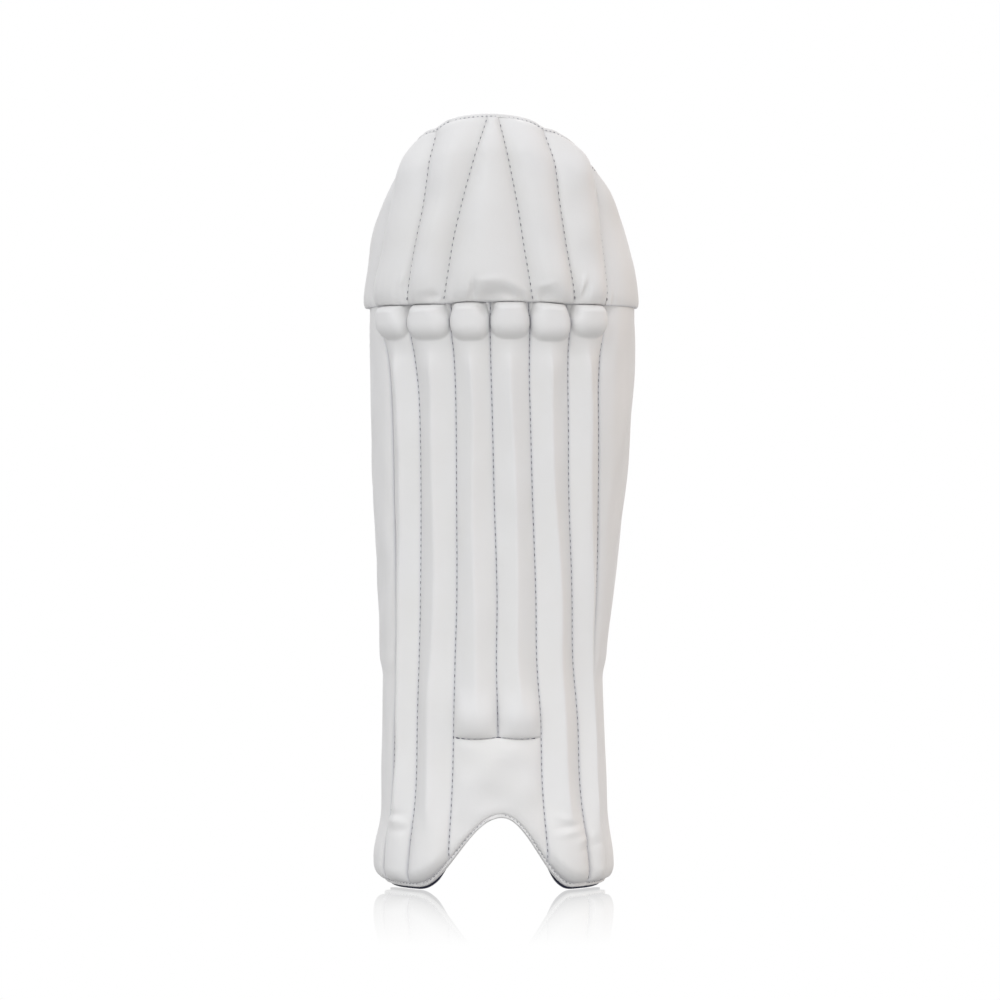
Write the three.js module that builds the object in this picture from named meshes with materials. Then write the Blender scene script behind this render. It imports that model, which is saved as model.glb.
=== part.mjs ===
// A wicket keeping pad: white padded channels sewn to a navy lining that wraps round the front of a shin.
// Millimetres, +Z up. The padded front faces -Y and the pad stands on its two foot lobes.
// A place on the pad is an angle round the shin in degrees (0 straight ahead, positive to +X),
// a height above the floor, and a lift outwards from the face of the lining.

import * as THREE from 'three';
import { mergeVertices } from 'three/addons/utils/BufferGeometryUtils.js';

const { clamp, degToRad, lerp, smoothstep } = THREE.MathUtils;

// Heights above the floor
const TOP_HEIGHT = 620;
const KNEE_SEAM_HEIGHT = 468;
const KNOB_FOOT_HEIGHT = 438;
const NECK_FOOT_HEIGHT = 411;
const WING_STRIP_HEIGHT = 176;
const INNER_RIDGE_FOOT_HEIGHT = 152;
const INSTEP_SEAM_HEIGHT = 122.2;
const LOBE_TOP_HEIGHT = 62;
const OUTER_RIDGE_FOOT_HEIGHT = 58;
const LOBE_BULGE_HEIGHT = 22;

// Thickness of the layers
const LINING_THICKNESS = 2.5;
const LAYER_GAP = 0.6;
const SHIN_SEAM_LIFT = 4.8;
const KNOB_SEAM_LIFT = 7;
const LOBE_SEAM_LIFT = 9;
const TOP_SEAM_LIFT = 4.2;
const TOP_SEAM_REACH = 30;
const RIDGE_LIFT = 10.4;
const KNOB_LIFT = 13.2;
const NECK_LIFT = 5;
const OUTER_RIB_END_LIFT = 8;
const INNER_RIB_END_LIFT = 12.4;
const INSTEP_LIFT = 6.5;
const WING_LIFT = 9.5;
const WING_STRIP_LIFT = 8;
const LOBE_LEFT_LIFT = 15;
const LOBE_RIGHT_LIFT = 12;

// Lengths over which the padding rounds off towards an end
const KNEE_ROUND = 24;
const KNEE_ROLL = 12;
const KNEE_TOP_ROUND = 18;
const KNOB_TOP_ROUND = 6.5;
const KNOB_CORNER_ROUND = 12;
const KNOB_FOOT_ROUND = 13.5;
const OUTER_RIB_END_ROUND = 12;
const INNER_RIB_END_ROUND = 24;
const INSTEP_FOOT_ROUND = 46;
const INSTEP_TOP_ROUND = 18;
const WING_FOOT_ROUND = 12;
const LOBE_ROLL = 12;

// Share of its half width that each upper corner of a knob is drawn in by
const KNOB_CORNER_SHARE = 0.2;

// Half of the slit at a seam, as an angle and as a height
const SEAM_HALF_ANGLE = 0.25;
const SEAM_HALF_HEIGHT = 0.3;

// Dome over the knee
const DOME_CENTRE_ANGLE = -3;
const DOME_SIDE_ANGLE = 90;
const DOME_DROP = 62;
const DOME_LEFT_POWER = 2.35;
const DOME_RIGHT_POWER = 2;

// Arch over the boot, and the flattened soles and rounded outer corners of the lobes beside it
const ARCH_HEIGHT = 59.3;
const ARCH_CENTRE_ANGLE = 3.8;
const ARCH_LEFT_ANGLE = 52.5;
const ARCH_RIGHT_ANGLE = 44;
const ARCH_POWER = 1.3;
const LOBE_CORNER_ANGLE = 52;
const LOBE_CORNER_SPAN = 38;
const LOBE_CORNER_RISE = 4;
const SOLE_FLATTENING = 1;

// Dip of the instep seam under each inner rib
const INSTEP_SCALLOP = 1.3;

// White welts along the top and bottom edges, and the navy edge that shows under the lower one
const WELT_WIDTH = 3.4;
const WELT_LIFT = 4.7;
const WELT_GAP = 0.6;
const WELT_TOP_STEP = 1;
const LINING_SHOWING = 1.8;
const LINING_TUCK = 3;
const TUCK_FOOT_SHARE = 0.2;
const TUCK_TOP_SHARE = 0.42;

// Straps round the back of the leg
const STRAP_WIDTH = 38;
const STRAP_THICKNESS = 2;
const STRAP_SEWN_ANGLE = 24;
const STRAP_BACK_SHARE = 0.85;
const STRAPS = table(
  ['name', 'height'],
  [
    ['ankle_strap', 150],
    ['calf_strap', 400],
  ],
);

// Plan of the lining at each level: an ellipse by its middle in x, half width, depth and front in y
const LEVELS = table(
  ['height', 'centre', 'halfWidth', 'depth', 'front'],
  [
    [0, -3.8, 85.5, 66, -53],
    [70, -4.6, 85.5, 66, -50],
    [121, -5.4, 84.5, 66, -47.5],
    [179, -5.8, 82.7, 66, -46],
    [231, -3.4, 86.1, 67, -45.5],
    [311, -1.2, 92.7, 69, -45.5],
    [391, 1.4, 97, 70, -46],
    [468, 1.8, 98, 70, -46],
    [515, -0.4, 89.6, 67, -45],
    [547, -0.6, 82.4, 64, -42.5],
    [580, -0.4, 77.5, 60, -38],
    [620, -3, 70, 56, -30],
  ],
);

// Angles of the two free edges at the back
const EDGES = table(
  ['height', 'left', 'right'],
  [
    [0, -83, 82],
    [60, -81, 80],
    [168, -83, 82],
    [190, -91, 90],
    [330, -104, 103],
    [468, -111, 110],
    [620, -108, 107],
  ],
);

// Angles of the seams between the shin pieces
const SHIN_SEAMS = table(
  ['height', 'wingLeft', 'outerLeft', 'innerLeft', 'middle', 'innerRight', 'outerRight', 'wingRight'],
  [
    [0, -67.5, -48.7, -24.6, 2.1, 28.6, 54, 65.5],
    [71, -63.5, -44, -22, 2.4, 25.6, 49.8, 65],
    [151, -61.6, -43, -20.5, 2.4, 25.2, 49.4, 65.3],
    [231, -60.8, -41.7, -20.1, 0.7, 20.8, 42.4, 62],
    [311, -58.9, -39.7, -20.2, -2, 16.3, 35.5, 55.4],
    [391, -59.9, -40.7, -21.3, -4.5, 12.8, 31.6, 49.7],
    [430, -62.6, -43.4, -22.3, -5.3, 12.1, 30.7, 49.5],
    [468, -68.3, -46.1, -24.2, -5.5, 12.1, 30.8, 51.7],
  ],
);

// Angles of the seams between the knee panels
const KNEE_SEAMS = table(
  ['height', 'outerLeft', 'middleLeft', 'innerLeft', 'innerRight', 'middleRight', 'outerRight'],
  [
    [468, -73, -45.5, -26, 13.2, 33, 52],
    [537, -70.5, -41.5, -20, 9.8, 32, 59],
    [580, -70, -40.5, -14, 5, 30.5, 62],
    [620, -70, -40, -5, 1, 28.5, 66],
  ],
);

// Lift of the knee seams, and of the free edges beside them
const KNEE_SEAM_LIFTS = {
  edge: 8.5,
  outerLeft: 9,
  middleLeft: 11,
  innerLeft: 11.5,
  innerRight: 11.5,
  middleRight: 11,
  outerRight: 9.5,
};

// Knee panels: fullness above the seams at the knee seam's level and at the top, the share of it left
// on the knee seam itself, and how square the shoulders are towards the left and the right seam
const KNEE_PANELS = table(
  ['name', 'left', 'right', 'low', 'high', 'seamShare', 'leftPower', 'rightPower'],
  [
    ['knee_panel_outer_left', 'edge', 'outerLeft', 6, 6.5, 0.8, 2, 2],
    ['knee_panel_middle_left', 'outerLeft', 'middleLeft', 9, 8, 0.4, 2, 2.4],
    ['knee_panel_inner_left', 'middleLeft', 'innerLeft', 11.5, 9, 0.3, 2, 1.6],
    ['knee_panel_centre', 'innerLeft', 'innerRight', 10, 6.5, 0.3, 3, 3],
    ['knee_panel_inner_right', 'innerRight', 'middleRight', 11.5, 9, 0.3, 1.6, 2.4],
    ['knee_panel_middle_right', 'middleRight', 'outerRight', 9, 10.5, 0.4, 1.7, 2],
    ['knee_panel_outer_right', 'outerRight', 'edge', 5, 8.5, 0.8, 2, 2],
  ],
);

// Ends of the shin ribs: the outer ones run down into the lobes and the inner ones stop at the instep seam
const LOBE_END = {
  foot: paddingFoot,
  ridgeFoot: OUTER_RIDGE_FOOT_HEIGHT,
  endLift: OUTER_RIB_END_LIFT,
  endRound: OUTER_RIB_END_ROUND,
};
const INSTEP_END = {
  foot: innerRibFoot,
  ridgeFoot: INNER_RIDGE_FOOT_HEIGHT,
  endLift: INNER_RIB_END_LIFT,
  endRound: INNER_RIB_END_ROUND,
};
const SHIN_RIBS = table(
  ['name', 'left', 'right', 'end'],
  [
    ['shin_rib_outer_left', shinSeam('wingLeft'), shinSeam('outerLeft'), LOBE_END],
    ['shin_rib_middle_left', shinSeam('outerLeft'), shinSeam('innerLeft'), LOBE_END],
    ['shin_rib_inner_left', shinSeam('innerLeft'), shinSeam('middle'), INSTEP_END],
    ['shin_rib_inner_right', shinSeam('middle'), shinSeam('innerRight'), INSTEP_END],
    ['shin_rib_middle_right', shinSeam('innerRight'), shinSeam('outerRight'), LOBE_END],
    ['shin_rib_outer_right', shinSeam('outerRight'), shinSeam('wingRight'), LOBE_END],
  ],
);

// Side wings, which narrow to a strip below the calf and swell again beside the lobes
const WINGS = table(
  ['name', 'left', 'right', 'lobeLift'],
  [
    ['wing_left', edgeLine('left'), shinSeam('wingLeft'), LOBE_LEFT_LIFT],
    ['wing_right', shinSeam('wingRight'), edgeLine('right'), LOBE_RIGHT_LIFT],
  ],
);

// Cross cuts along a piece, as shares of its length, closer together where it rounds off
const LONG_CUTS = [
  ...[0, 0.015, 0.04, 0.075, 0.12],
  ...[0.19, 0.27, 0.35, 0.43, 0.52, 0.61, 0.7, 0.79, 0.87],
  ...[0.915, 0.93, 0.945, 0.965, 0.985, 0.994, 1],
];
const SHORT_CUTS = [0, 0.05, 0.13, 0.28, 0.5, 0.72, 0.88, 0.96, 1];
const EVEN_CUTS = Array.from({ length: 22 }, (_, index) => index / 21);

// Strips round the shin and cuts along it that each kind of piece is divided into
const PANEL_STRIPS = { columns: 6, cuts: SHORT_CUTS };
const RIB_STRIPS = { columns: 6, cuts: LONG_CUTS };
const WING_STRIPS = { columns: 5, cuts: LONG_CUTS };
const INSTEP_STRIPS = { columns: 12, cuts: SHORT_CUTS };
const LINING_STRIPS = { columns: 30, cuts: EVEN_CUTS };
const WELT_STRIPS = { columns: 44, cuts: [0, 1] };
const STRAP_STRIPS = { columns: 28, cuts: [0, 0.5, 1] };

const WHITE_LEATHER = { color: 0xe6e6e3, roughness: 0.45, metalness: 0 };
const NAVY_CLOTH = { color: 0x1c1e34, roughness: 0.95, metalness: 0 };
const WHITE_WEBBING = { color: 0xd9d9d6, roughness: 0.8, metalness: 0 };

// Rows of values turned into records with named columns.
function table(columns, rows) {
  return rows.map((row) => Object.fromEntries(columns.map((column, index) => [column, row[index]])));
}

// Value of one column of a table at a height, on a smooth curve through the rows.
function columnAt(records, column, height) {
  const last = records.length - 1;
  let row = 0;
  while (row < last - 1 && height > records[row + 1].height) {
    row += 1;
  }
  const slopeAt = (index) => {
    const before = records[Math.max(index - 1, 0)];
    const after = records[Math.min(index + 1, last)];
    return (after[column] - before[column]) / (after.height - before.height);
  };
  const start = records[row];
  const end = records[row + 1];
  const span = end.height - start.height;
  const share = clamp((height - start.height) / span, 0, 1);
  const rest = 1 - share;
  const bend = span * share * rest * (slopeAt(row) * rest - slopeAt(row + 1) * share);
  return lerp(start[column], end[column], smoothstep(share, 0, 1)) + bend;
}

// Lines up the pad: each gives the angle of an edge or a seam at a height.
function edgeLine(side) {
  return (height) => columnAt(EDGES, side, height);
}

function shinSeam(column) {
  return (height) => columnAt(SHIN_SEAMS, column, height);
}

function kneeSeam(column) {
  return (height) => columnAt(KNEE_SEAMS, column, height);
}

// Point at an angle, a height and a lift. Behind the widest place the depth can be drawn in by `backShare`.
function surfacePoint(angle, height, lift, backShare = 1) {
  const halfWidth = columnAt(LEVELS, 'halfWidth', height);
  const depth = columnAt(LEVELS, 'depth', height);
  const sine = Math.sin(degToRad(angle));
  const cosine = Math.cos(degToRad(angle));
  const outwards = new THREE.Vector2(sine / halfWidth, -cosine / depth).setLength(lift);
  const reach = cosine < 0 ? cosine * backShare : cosine;
  const x = columnAt(LEVELS, 'centre', height) + halfWidth * sine + outwards.x;
  const y = columnAt(LEVELS, 'front', height) + depth * (1 - reach) + outwards.y;
  return new THREE.Vector3(x, y, height);
}

// Top edge of the pad at an angle.
function topEdge(angle) {
  const turn = angle - DOME_CENTRE_ANGLE;
  const power = turn < 0 ? DOME_LEFT_POWER : DOME_RIGHT_POWER;
  return TOP_HEIGHT - DOME_DROP * (Math.abs(turn) / DOME_SIDE_ANGLE) ** power;
}

// How far into the arch an angle lies: 1 at its crown, 0 on the lobes.
function archShare(angle) {
  const turn = angle - ARCH_CENTRE_ANGLE;
  const reach = turn < 0 ? ARCH_LEFT_ANGLE : ARCH_RIGHT_ANGLE;
  return 0.5 + 0.5 * Math.cos(Math.PI * clamp(turn / reach, -1, 1));
}

// Bottom edge of the pad at an angle.
function bottomEdge(angle) {
  const corner = Math.max(0, Math.abs(angle) - LOBE_CORNER_ANGLE) / LOBE_CORNER_SPAN;
  const edge = ARCH_HEIGHT * archShare(angle) ** ARCH_POWER + LOBE_CORNER_RISE * corner ** 2;
  return Math.max(0, edge - SOLE_FLATTENING);
}

// The lining hangs below the welt on the lobes and is tucked up behind it round the arch.
function liningFoot(angle) {
  return bottomEdge(angle) + LINING_TUCK * smoothstep(archShare(angle), TUCK_FOOT_SHARE, TUCK_TOP_SHARE);
}

function weltFoot(angle) {
  return bottomEdge(angle) + LINING_SHOWING * (1 - archShare(angle) ** 2);
}

function kneeWeltFoot(angle) {
  return topEdge(angle) - WELT_WIDTH;
}

// Lower and upper ends of the padding.
function paddingFoot(angle) {
  return weltFoot(angle) + WELT_WIDTH + WELT_GAP;
}

function paddingTop(angle) {
  return kneeWeltFoot(angle) - WELT_GAP;
}

// Seam above the instep panel, which dips in the middle of each inner rib.
function instepSeam(angle) {
  const middle = columnAt(SHIN_SEAMS, 'middle', INSTEP_SEAM_HEIGHT);
  const side = angle < middle ? 'innerLeft' : 'innerRight';
  const share = (angle - middle) / (columnAt(SHIN_SEAMS, side, INSTEP_SEAM_HEIGHT) - middle);
  return INSTEP_SEAM_HEIGHT - INSTEP_SCALLOP * Math.sin(Math.PI * clamp(share, 0, 1));
}

function innerRibFoot(angle) {
  return instepSeam(angle) + SEAM_HALF_HEIGHT;
}

function instepTop(angle) {
  return instepSeam(angle) - SEAM_HALF_HEIGHT;
}

function aboveKneeSeam() {
  return KNEE_SEAM_HEIGHT + SEAM_HALF_HEIGHT;
}

function belowKneeSeam() {
  return KNEE_SEAM_HEIGHT - SEAM_HALF_HEIGHT;
}

// Lift of the shin seams, which are sewn less deep between the knobs and on the lobes.
function shinSeamDepth(height) {
  const lobes = lerp(LOBE_SEAM_LIFT, SHIN_SEAM_LIFT, smoothstep(height, 20, 100));
  return lerp(lobes, KNOB_SEAM_LIFT, smoothstep(height, NECK_FOOT_HEIGHT + 14, KNOB_FOOT_HEIGHT + 8));
}

// The same lift, which comes down to the welt at the bottom edge.
function shinSeamLift(angle, height) {
  return lerp(WELT_LIFT, shinSeamDepth(height), rounding(height - paddingFoot(angle), LOBE_ROLL, 0));
}

// Sections across a padded piece, 0 on both seams and 1 in the middle: round, roof shaped and flat topped.
const crown = (across) => Math.sqrt(Math.max(0, 1 - (2 * across - 1) ** 2));
const roof = (across) => 1 - Math.abs(2 * across - 1);
const flatTop = (across) => Math.sqrt(Math.max(0, 1 - Math.abs(2 * across - 1) ** 5));

// Section of a knee panel, whose two shoulders can differ.
function cushion(across, leftPower, rightPower) {
  const side = 2 * across - 1;
  const power = side < 0 ? leftPower : rightPower;
  return 1 - Math.abs(side) ** power;
}

// Rounding towards an end: `least` on the end itself, 1 from `radius` away.
function rounding(distance, radius, least) {
  const share = 1 - clamp(distance / radius, 0, 1);
  return lerp(least, 1, Math.sqrt(1 - share ** 2));
}

// Closed solid from a block: its width runs round the shin, its height up it, and its depth is the padding.
function bentBlock({ name, columns, cuts, finish, pointAt }) {
  const rows = cuts.length - 1;
  const block = new THREE.BoxGeometry(1, 1, 1, columns, rows, 1);
  block.deleteAttribute('normal');
  block.deleteAttribute('uv');
  const solid = mergeVertices(block);
  const corners = solid.getAttribute('position');
  for (let index = 0; index < corners.count; index += 1) {
    const across = corners.getX(index) + 0.5;
    const up = cuts[Math.round((corners.getY(index) + 0.5) * rows)];
    const isFront = corners.getZ(index) > 0;
    const point = pointAt(across, up, isFront);
    corners.setXYZ(index, point.x, point.y, point.z);
  }
  solid.computeVertexNormals();
  const mesh = new THREE.Mesh(solid, new THREE.MeshStandardMaterial(finish));
  mesh.name = name;
  return mesh;
}

// Piece on the lining between two lines and two ends, in strips round the shin and cuts along it.
// The passes settle its height where both ends depend on the angle.
function sewnPiece({ name, left, right, foot, top, lift, back = LAYER_GAP, strips, finish = WHITE_LEATHER }) {
  const passes = 6;
  const pointAt = (across, up, isFront) => {
    let height = lerp(KNEE_SEAM_HEIGHT / 2, KNEE_SEAM_HEIGHT, up);
    let angle = 0;
    let low = 0;
    let high = 0;
    for (let pass = 0; pass < passes; pass += 1) {
      angle = lerp(left(height) + SEAM_HALF_ANGLE, right(height) - SEAM_HALF_ANGLE, across);
      low = foot(angle);
      high = top(angle);
      height = lerp(low, high, up);
    }
    const front = lift({ across, angle, height, above: height - low, below: high - height });
    return surfacePoint(angle, height, isFront ? front : back);
  };
  return bentBlock({ name, ...strips, finish, pointAt });
}

// The seams of a knee panel sink towards the top edge, and its foot rolls under at the knee seam.
function kneePanel({ name, left, right, low, high, seamShare, leftPower, rightPower }) {
  const lift = ({ across, height, above, below }) => {
    const climb = (height - KNEE_SEAM_HEIGHT) / (TOP_HEIGHT - KNEE_SEAM_HEIGHT);
    const full = lerp(low, high, climb) * cushion(across, leftPower, rightPower);
    const ends = rounding(above, KNEE_ROUND, seamShare) * rounding(below, KNEE_TOP_ROUND, 0.15);
    const seam = lerp(KNEE_SEAM_LIFTS[left], KNEE_SEAM_LIFTS[right], across);
    const base = lerp(TOP_SEAM_LIFT, seam, smoothstep(below, 0, TOP_SEAM_REACH));
    return base * rounding(above, KNEE_ROLL, lerp(0.5, 1, seamShare)) + full * ends;
  };
  return sewnPiece({
    name,
    left: left === 'edge' ? edgeLine('left') : kneeSeam(left),
    right: right === 'edge' ? edgeLine('right') : kneeSeam(right),
    foot: aboveKneeSeam,
    top: paddingTop,
    lift,
    strips: PANEL_STRIPS,
  });
}

// A rib has a ridge along its shaft, a pillow at its foot, and a neck and a knob under the knee seam.
function shinRib({ name, left, right, end }) {
  const lift = ({ across, angle, height, above, below }) => {
    const side = Math.abs(2 * across - 1);
    const shaftShare = smoothstep(height, end.ridgeFoot - 18, end.ridgeFoot + 14);
    const neckShare = smoothstep(height, NECK_FOOT_HEIGHT, KNOB_FOOT_HEIGHT + 3);
    const shaft = lerp(end.endLift * crown(across), RIDGE_LIFT * roof(across), shaftShare);
    const neck = lerp(shaft, NECK_LIFT * crown(across), neckShare) * rounding(above, end.endRound, 0.12);
    const reach = 1 - KNOB_CORNER_SHARE * clamp(1 - below / KNOB_CORNER_ROUND, 0, 1);
    const knobEnd = clamp(1 - (height - KNOB_FOOT_HEIGHT) / KNOB_FOOT_ROUND, 0, 1);
    const bulge = Math.sqrt(Math.max(0, 1 - (side / reach) ** 3.2 - knobEnd ** 2.2));
    const knob = KNOB_LIFT * bulge * rounding(below, KNOB_TOP_ROUND, 0.4);
    return shinSeamLift(angle, height) + Math.max(neck, knob);
  };
  return sewnPiece({ name, left, right, foot: end.foot, top: belowKneeSeam, lift, strips: RIB_STRIPS });
}

function wing({ name, left, right, lobeLift }) {
  const lift = ({ across, angle, height, above }) => {
    const wingShare = smoothstep(height, WING_STRIP_HEIGHT - 8, WING_STRIP_HEIGHT + 8);
    const stripShare = smoothstep(height, LOBE_BULGE_HEIGHT, LOBE_TOP_HEIGHT);
    const upper = lerp(WING_STRIP_LIFT, WING_LIFT, wingShare);
    const full = lerp(lobeLift, upper, stripShare) - shinSeamDepth(height);
    return shinSeamLift(angle, height) + full * flatTop(across) * rounding(above, WING_FOOT_ROUND, 0.35);
  };
  return sewnPiece({ name, left, right, foot: paddingFoot, top: belowKneeSeam, lift, strips: WING_STRIPS });
}

function instepPanel() {
  const lift = ({ across, angle, height, above, below }) => {
    const ends = smoothstep(above, -8, INSTEP_FOOT_ROUND) * rounding(below, INSTEP_TOP_ROUND, 0.3);
    return shinSeamLift(angle, height) + INSTEP_LIFT * crown(across) * ends;
  };
  return sewnPiece({
    name: 'instep_panel',
    left: shinSeam('innerLeft'),
    right: shinSeam('innerRight'),
    foot: paddingFoot,
    top: instepTop,
    lift,
    strips: INSTEP_STRIPS,
  });
}

function lining() {
  return sewnPiece({
    name: 'lining',
    left: edgeLine('left'),
    right: edgeLine('right'),
    foot: liningFoot,
    top: (angle) => topEdge(angle) - WELT_TOP_STEP,
    lift: () => 0,
    back: -LINING_THICKNESS,
    strips: LINING_STRIPS,
    finish: NAVY_CLOTH,
  });
}

function welt(name, foot) {
  return sewnPiece({
    name,
    left: edgeLine('left'),
    right: edgeLine('right'),
    foot,
    top: (angle) => foot(angle) + WELT_WIDTH,
    lift: () => WELT_LIFT,
    strips: WELT_STRIPS,
  });
}

// Strap sewn inside both edges and carried round the back of the leg.
function strap({ name, height }) {
  const start = columnAt(EDGES, 'right', height) - STRAP_SEWN_ANGLE;
  const end = 360 + columnAt(EDGES, 'left', height) + STRAP_SEWN_ANGLE;
  const outside = -LINING_THICKNESS - LAYER_GAP;
  const pointAt = (across, up, isFront) => {
    const lift = isFront ? outside : outside - STRAP_THICKNESS;
    const place = height + STRAP_WIDTH * (up - 0.5);
    return surfacePoint(lerp(start, end, across), place, lift, STRAP_BACK_SHARE);
  };
  return bentBlock({ name, ...STRAP_STRIPS, finish: WHITE_WEBBING, pointAt });
}

const pad = new THREE.Group();
pad.name = 'wicket_keeping_pad';
pad.add(
  lining(),
  ...KNEE_PANELS.map(kneePanel),
  ...SHIN_RIBS.map(shinRib),
  ...WINGS.map(wing),
  instepPanel(),
  welt('knee_welt', kneeWeltFoot),
  welt('foot_welt', weltFoot),
  ...STRAPS.map(strap),
);

// The origin is the middle of the outer box, on the floor.
const outerBox = new THREE.Box3().setFromObject(pad, true);
const middle = outerBox.getCenter(new THREE.Vector3());
pad.position.set(-middle.x, -middle.y, -outerBox.min.z);

export default pad;
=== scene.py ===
"""Looks of a wicket keeping pad: white padded leather channels sewn to a navy lining.

The pad stands on its two foot lobes with its padded front towards -Y. Sizes are in millimetres and angles
in degrees until a mesh is made. An angle of 0 is straight ahead and positive angles go round to +X. A place
on the pad is an angle, a height above the floor and a lift outwards from the face of the lining.
"""

import logging
import math
from dataclasses import dataclass, field
from enum import Enum
from functools import partial
from typing import Any, Callable, Mapping, Sequence

import bpy
import numpy as np
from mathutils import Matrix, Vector


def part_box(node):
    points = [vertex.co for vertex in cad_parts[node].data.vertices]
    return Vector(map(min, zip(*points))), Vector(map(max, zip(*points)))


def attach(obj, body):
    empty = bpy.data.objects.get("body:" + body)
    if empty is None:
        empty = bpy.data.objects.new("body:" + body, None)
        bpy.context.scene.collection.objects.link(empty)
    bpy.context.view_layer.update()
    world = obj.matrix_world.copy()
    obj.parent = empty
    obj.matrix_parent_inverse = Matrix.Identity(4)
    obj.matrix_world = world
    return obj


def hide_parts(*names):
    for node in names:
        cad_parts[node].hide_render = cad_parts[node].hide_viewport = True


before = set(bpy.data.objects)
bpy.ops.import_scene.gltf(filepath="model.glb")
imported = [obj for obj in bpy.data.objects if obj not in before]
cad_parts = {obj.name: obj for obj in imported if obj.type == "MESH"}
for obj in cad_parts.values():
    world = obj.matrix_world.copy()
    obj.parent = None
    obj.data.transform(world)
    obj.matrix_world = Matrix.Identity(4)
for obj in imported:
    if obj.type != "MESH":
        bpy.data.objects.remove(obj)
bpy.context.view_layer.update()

LOG = logging.getLogger("pad")
BODY = "root"
METRES = 0.001
# Degrees over which an edge between two faces stays sharp.
SHARP_EDGE = 58.0
# Rounds in which angles and heights that depend on each other settle.
SETTLING_ROUNDS = 8

Array = np.ndarray
Line = Callable[[Array], Array]


class Slot(Enum):
    """Material slots of the part."""

    LEATHER = "white_leather"
    LINING = "navy_lining"
    WEBBING = "white_webbing"


class Held(Enum):
    """Ways in which a sheet of cloth is held."""

    STRETCHED = "stretched"


class Profile(Enum):
    """Sections across a padded piece: 0 on both seams and 1 in the middle."""

    PILLOW = "pillow"
    BULB = "bulb"
    ROOF = "roof"
    SLAB = "slab"

    def at(self, across: Array) -> Array:
        """Height of the section.

        Args:
            across: Share of the way from the left seam to the right one.

        Returns:
            The section's height as a share of the full lift.
        """
        side = np.abs(2 * across - 1)
        if self is Profile.PILLOW:
            return np.maximum(0, 1 - side**2.4) ** 0.8
        if self is Profile.BULB:
            return np.maximum(0, 1 - side**2) ** 0.6
        if self is Profile.SLAB:
            return np.maximum(0, 1 - side**5) ** 0.5
        soft = 0.05
        full = math.hypot(1, soft)
        return (full - np.hypot(side, soft)) / (full - soft)


def lerp(start: Any, end: Any, share: Any) -> Any:
    """Value a share of the way from start to end."""
    return start + (end - start) * share


def smooth(value: Array, low: float, high: float) -> Array:
    """0 below low, 1 above high and an even S curve between them."""
    share = np.clip((value - low) / (high - low), 0, 1)
    return share**2 * (3 - 2 * share)


def rounding(distance: Array, radius: float, least: float) -> Array:
    """Rounding towards an end: least on the end itself and 1 from radius away."""
    share = 1 - np.clip(distance / radius, 0, 1)
    return lerp(least, 1, np.sqrt(1 - share**2))


def near(distance: Array, reach: float) -> Array:
    """1 at no distance, falling away over reach on both sides."""
    return np.exp(-((distance / reach) ** 2))


def ramp(distance: Array, reach: float) -> Array:
    """Straight rise from 0 at no distance to 1 from reach on."""
    return np.minimum(1, distance / reach)


def even(steps: int, start: float = 0, end: float = 1) -> Array:
    """Evenly spaced values from start to end, in so many steps."""
    return np.linspace(start, end, steps + 1)


def eased(steps: int) -> Array:
    """Shares from 0 to 1 in so many steps, which are shorter towards both ends."""
    return 0.5 - 0.5 * np.cos(math.pi * even(steps))


def path_run(path: Array) -> Array:
    """Distance along a path up to each of its points."""
    return np.concatenate([[0], np.cumsum(np.linalg.norm(np.diff(path, axis=0), axis=1))])


def place_object(name: str, data: Any) -> Any:
    """Adds an object to the scene.

    Args:
        name: Name of the object.
        data: Its mesh, lamp or camera.

    Returns:
        The new object.
    """
    thing = bpy.data.objects.new(name, data)
    bpy.context.scene.collection.objects.link(thing)
    return thing


def linear(code: str) -> tuple[float, float, float, float]:
    """Linear colour of an sRGB value.

    Args:
        code: Six hex digits.

    Returns:
        Red, green, blue and full opacity.
    """
    shares = [int(code[start : start + 2], 16) / 255 for start in (0, 2, 4)]
    parts = [c / 12.92 if c <= 0.04045 else ((c + 0.055) / 1.055) ** 2.4 for c in shares]
    return (*parts, 1.0)


def socket(sockets: Any, name: str) -> Any:
    """Socket of a node by its identifier, or by its name."""
    return next((s for s in sockets if s.identifier == name), None) or sockets[name]


def add_node(
    tree: Any, kind: str, settings: Mapping[str, Any] = {}, links: Mapping[str, Any] = {}, output: str = ""
) -> Any:
    """Adds a node with its settings and links.

    Args:
        tree: Node tree that takes the node.
        kind: Type of node.
        settings: Properties by lower case name, and input values by socket name.
        links: Output sockets by the name of the input that they go to.
        output: Name of the output that is wanted, which is the first one if it is left out.

    Returns:
        The output socket, or none for a node without outputs.
    """
    node = tree.nodes.new(kind)
    for name, value in settings.items():
        if name.islower():
            setattr(node, name, value)
        else:
            socket(node.inputs, name).default_value = value
    for name, source in links.items():
        tree.links.new(source, socket(node.inputs, name))
    return socket(node.outputs, output) if output else next(iter(node.outputs), None)


def new_material(name: str) -> tuple[Any, Any]:
    """New material without nodes.

    Args:
        name: Name of the material.

    Returns:
        The material and its node tree.
    """
    material = bpy.data.materials.new(name)
    material.use_nodes = True
    material.node_tree.nodes.clear()
    return material, material.node_tree


def per_metre(millimetres: float) -> float:
    """Scale of a pattern whose cells are this far apart."""
    return 1 / (millimetres * METRES)


def mix_colours(tree: Any, share: Any, start: str, end: str) -> Any:
    """Output that goes with a share from one sRGB hex colour to another."""
    colours = {"data_type": "RGBA", "A_Color": linear(start), "B_Color": linear(end)}
    return add_node(tree, "ShaderNodeMix", colours, {"Factor_Float": share}, output="Result_Color")


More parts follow.
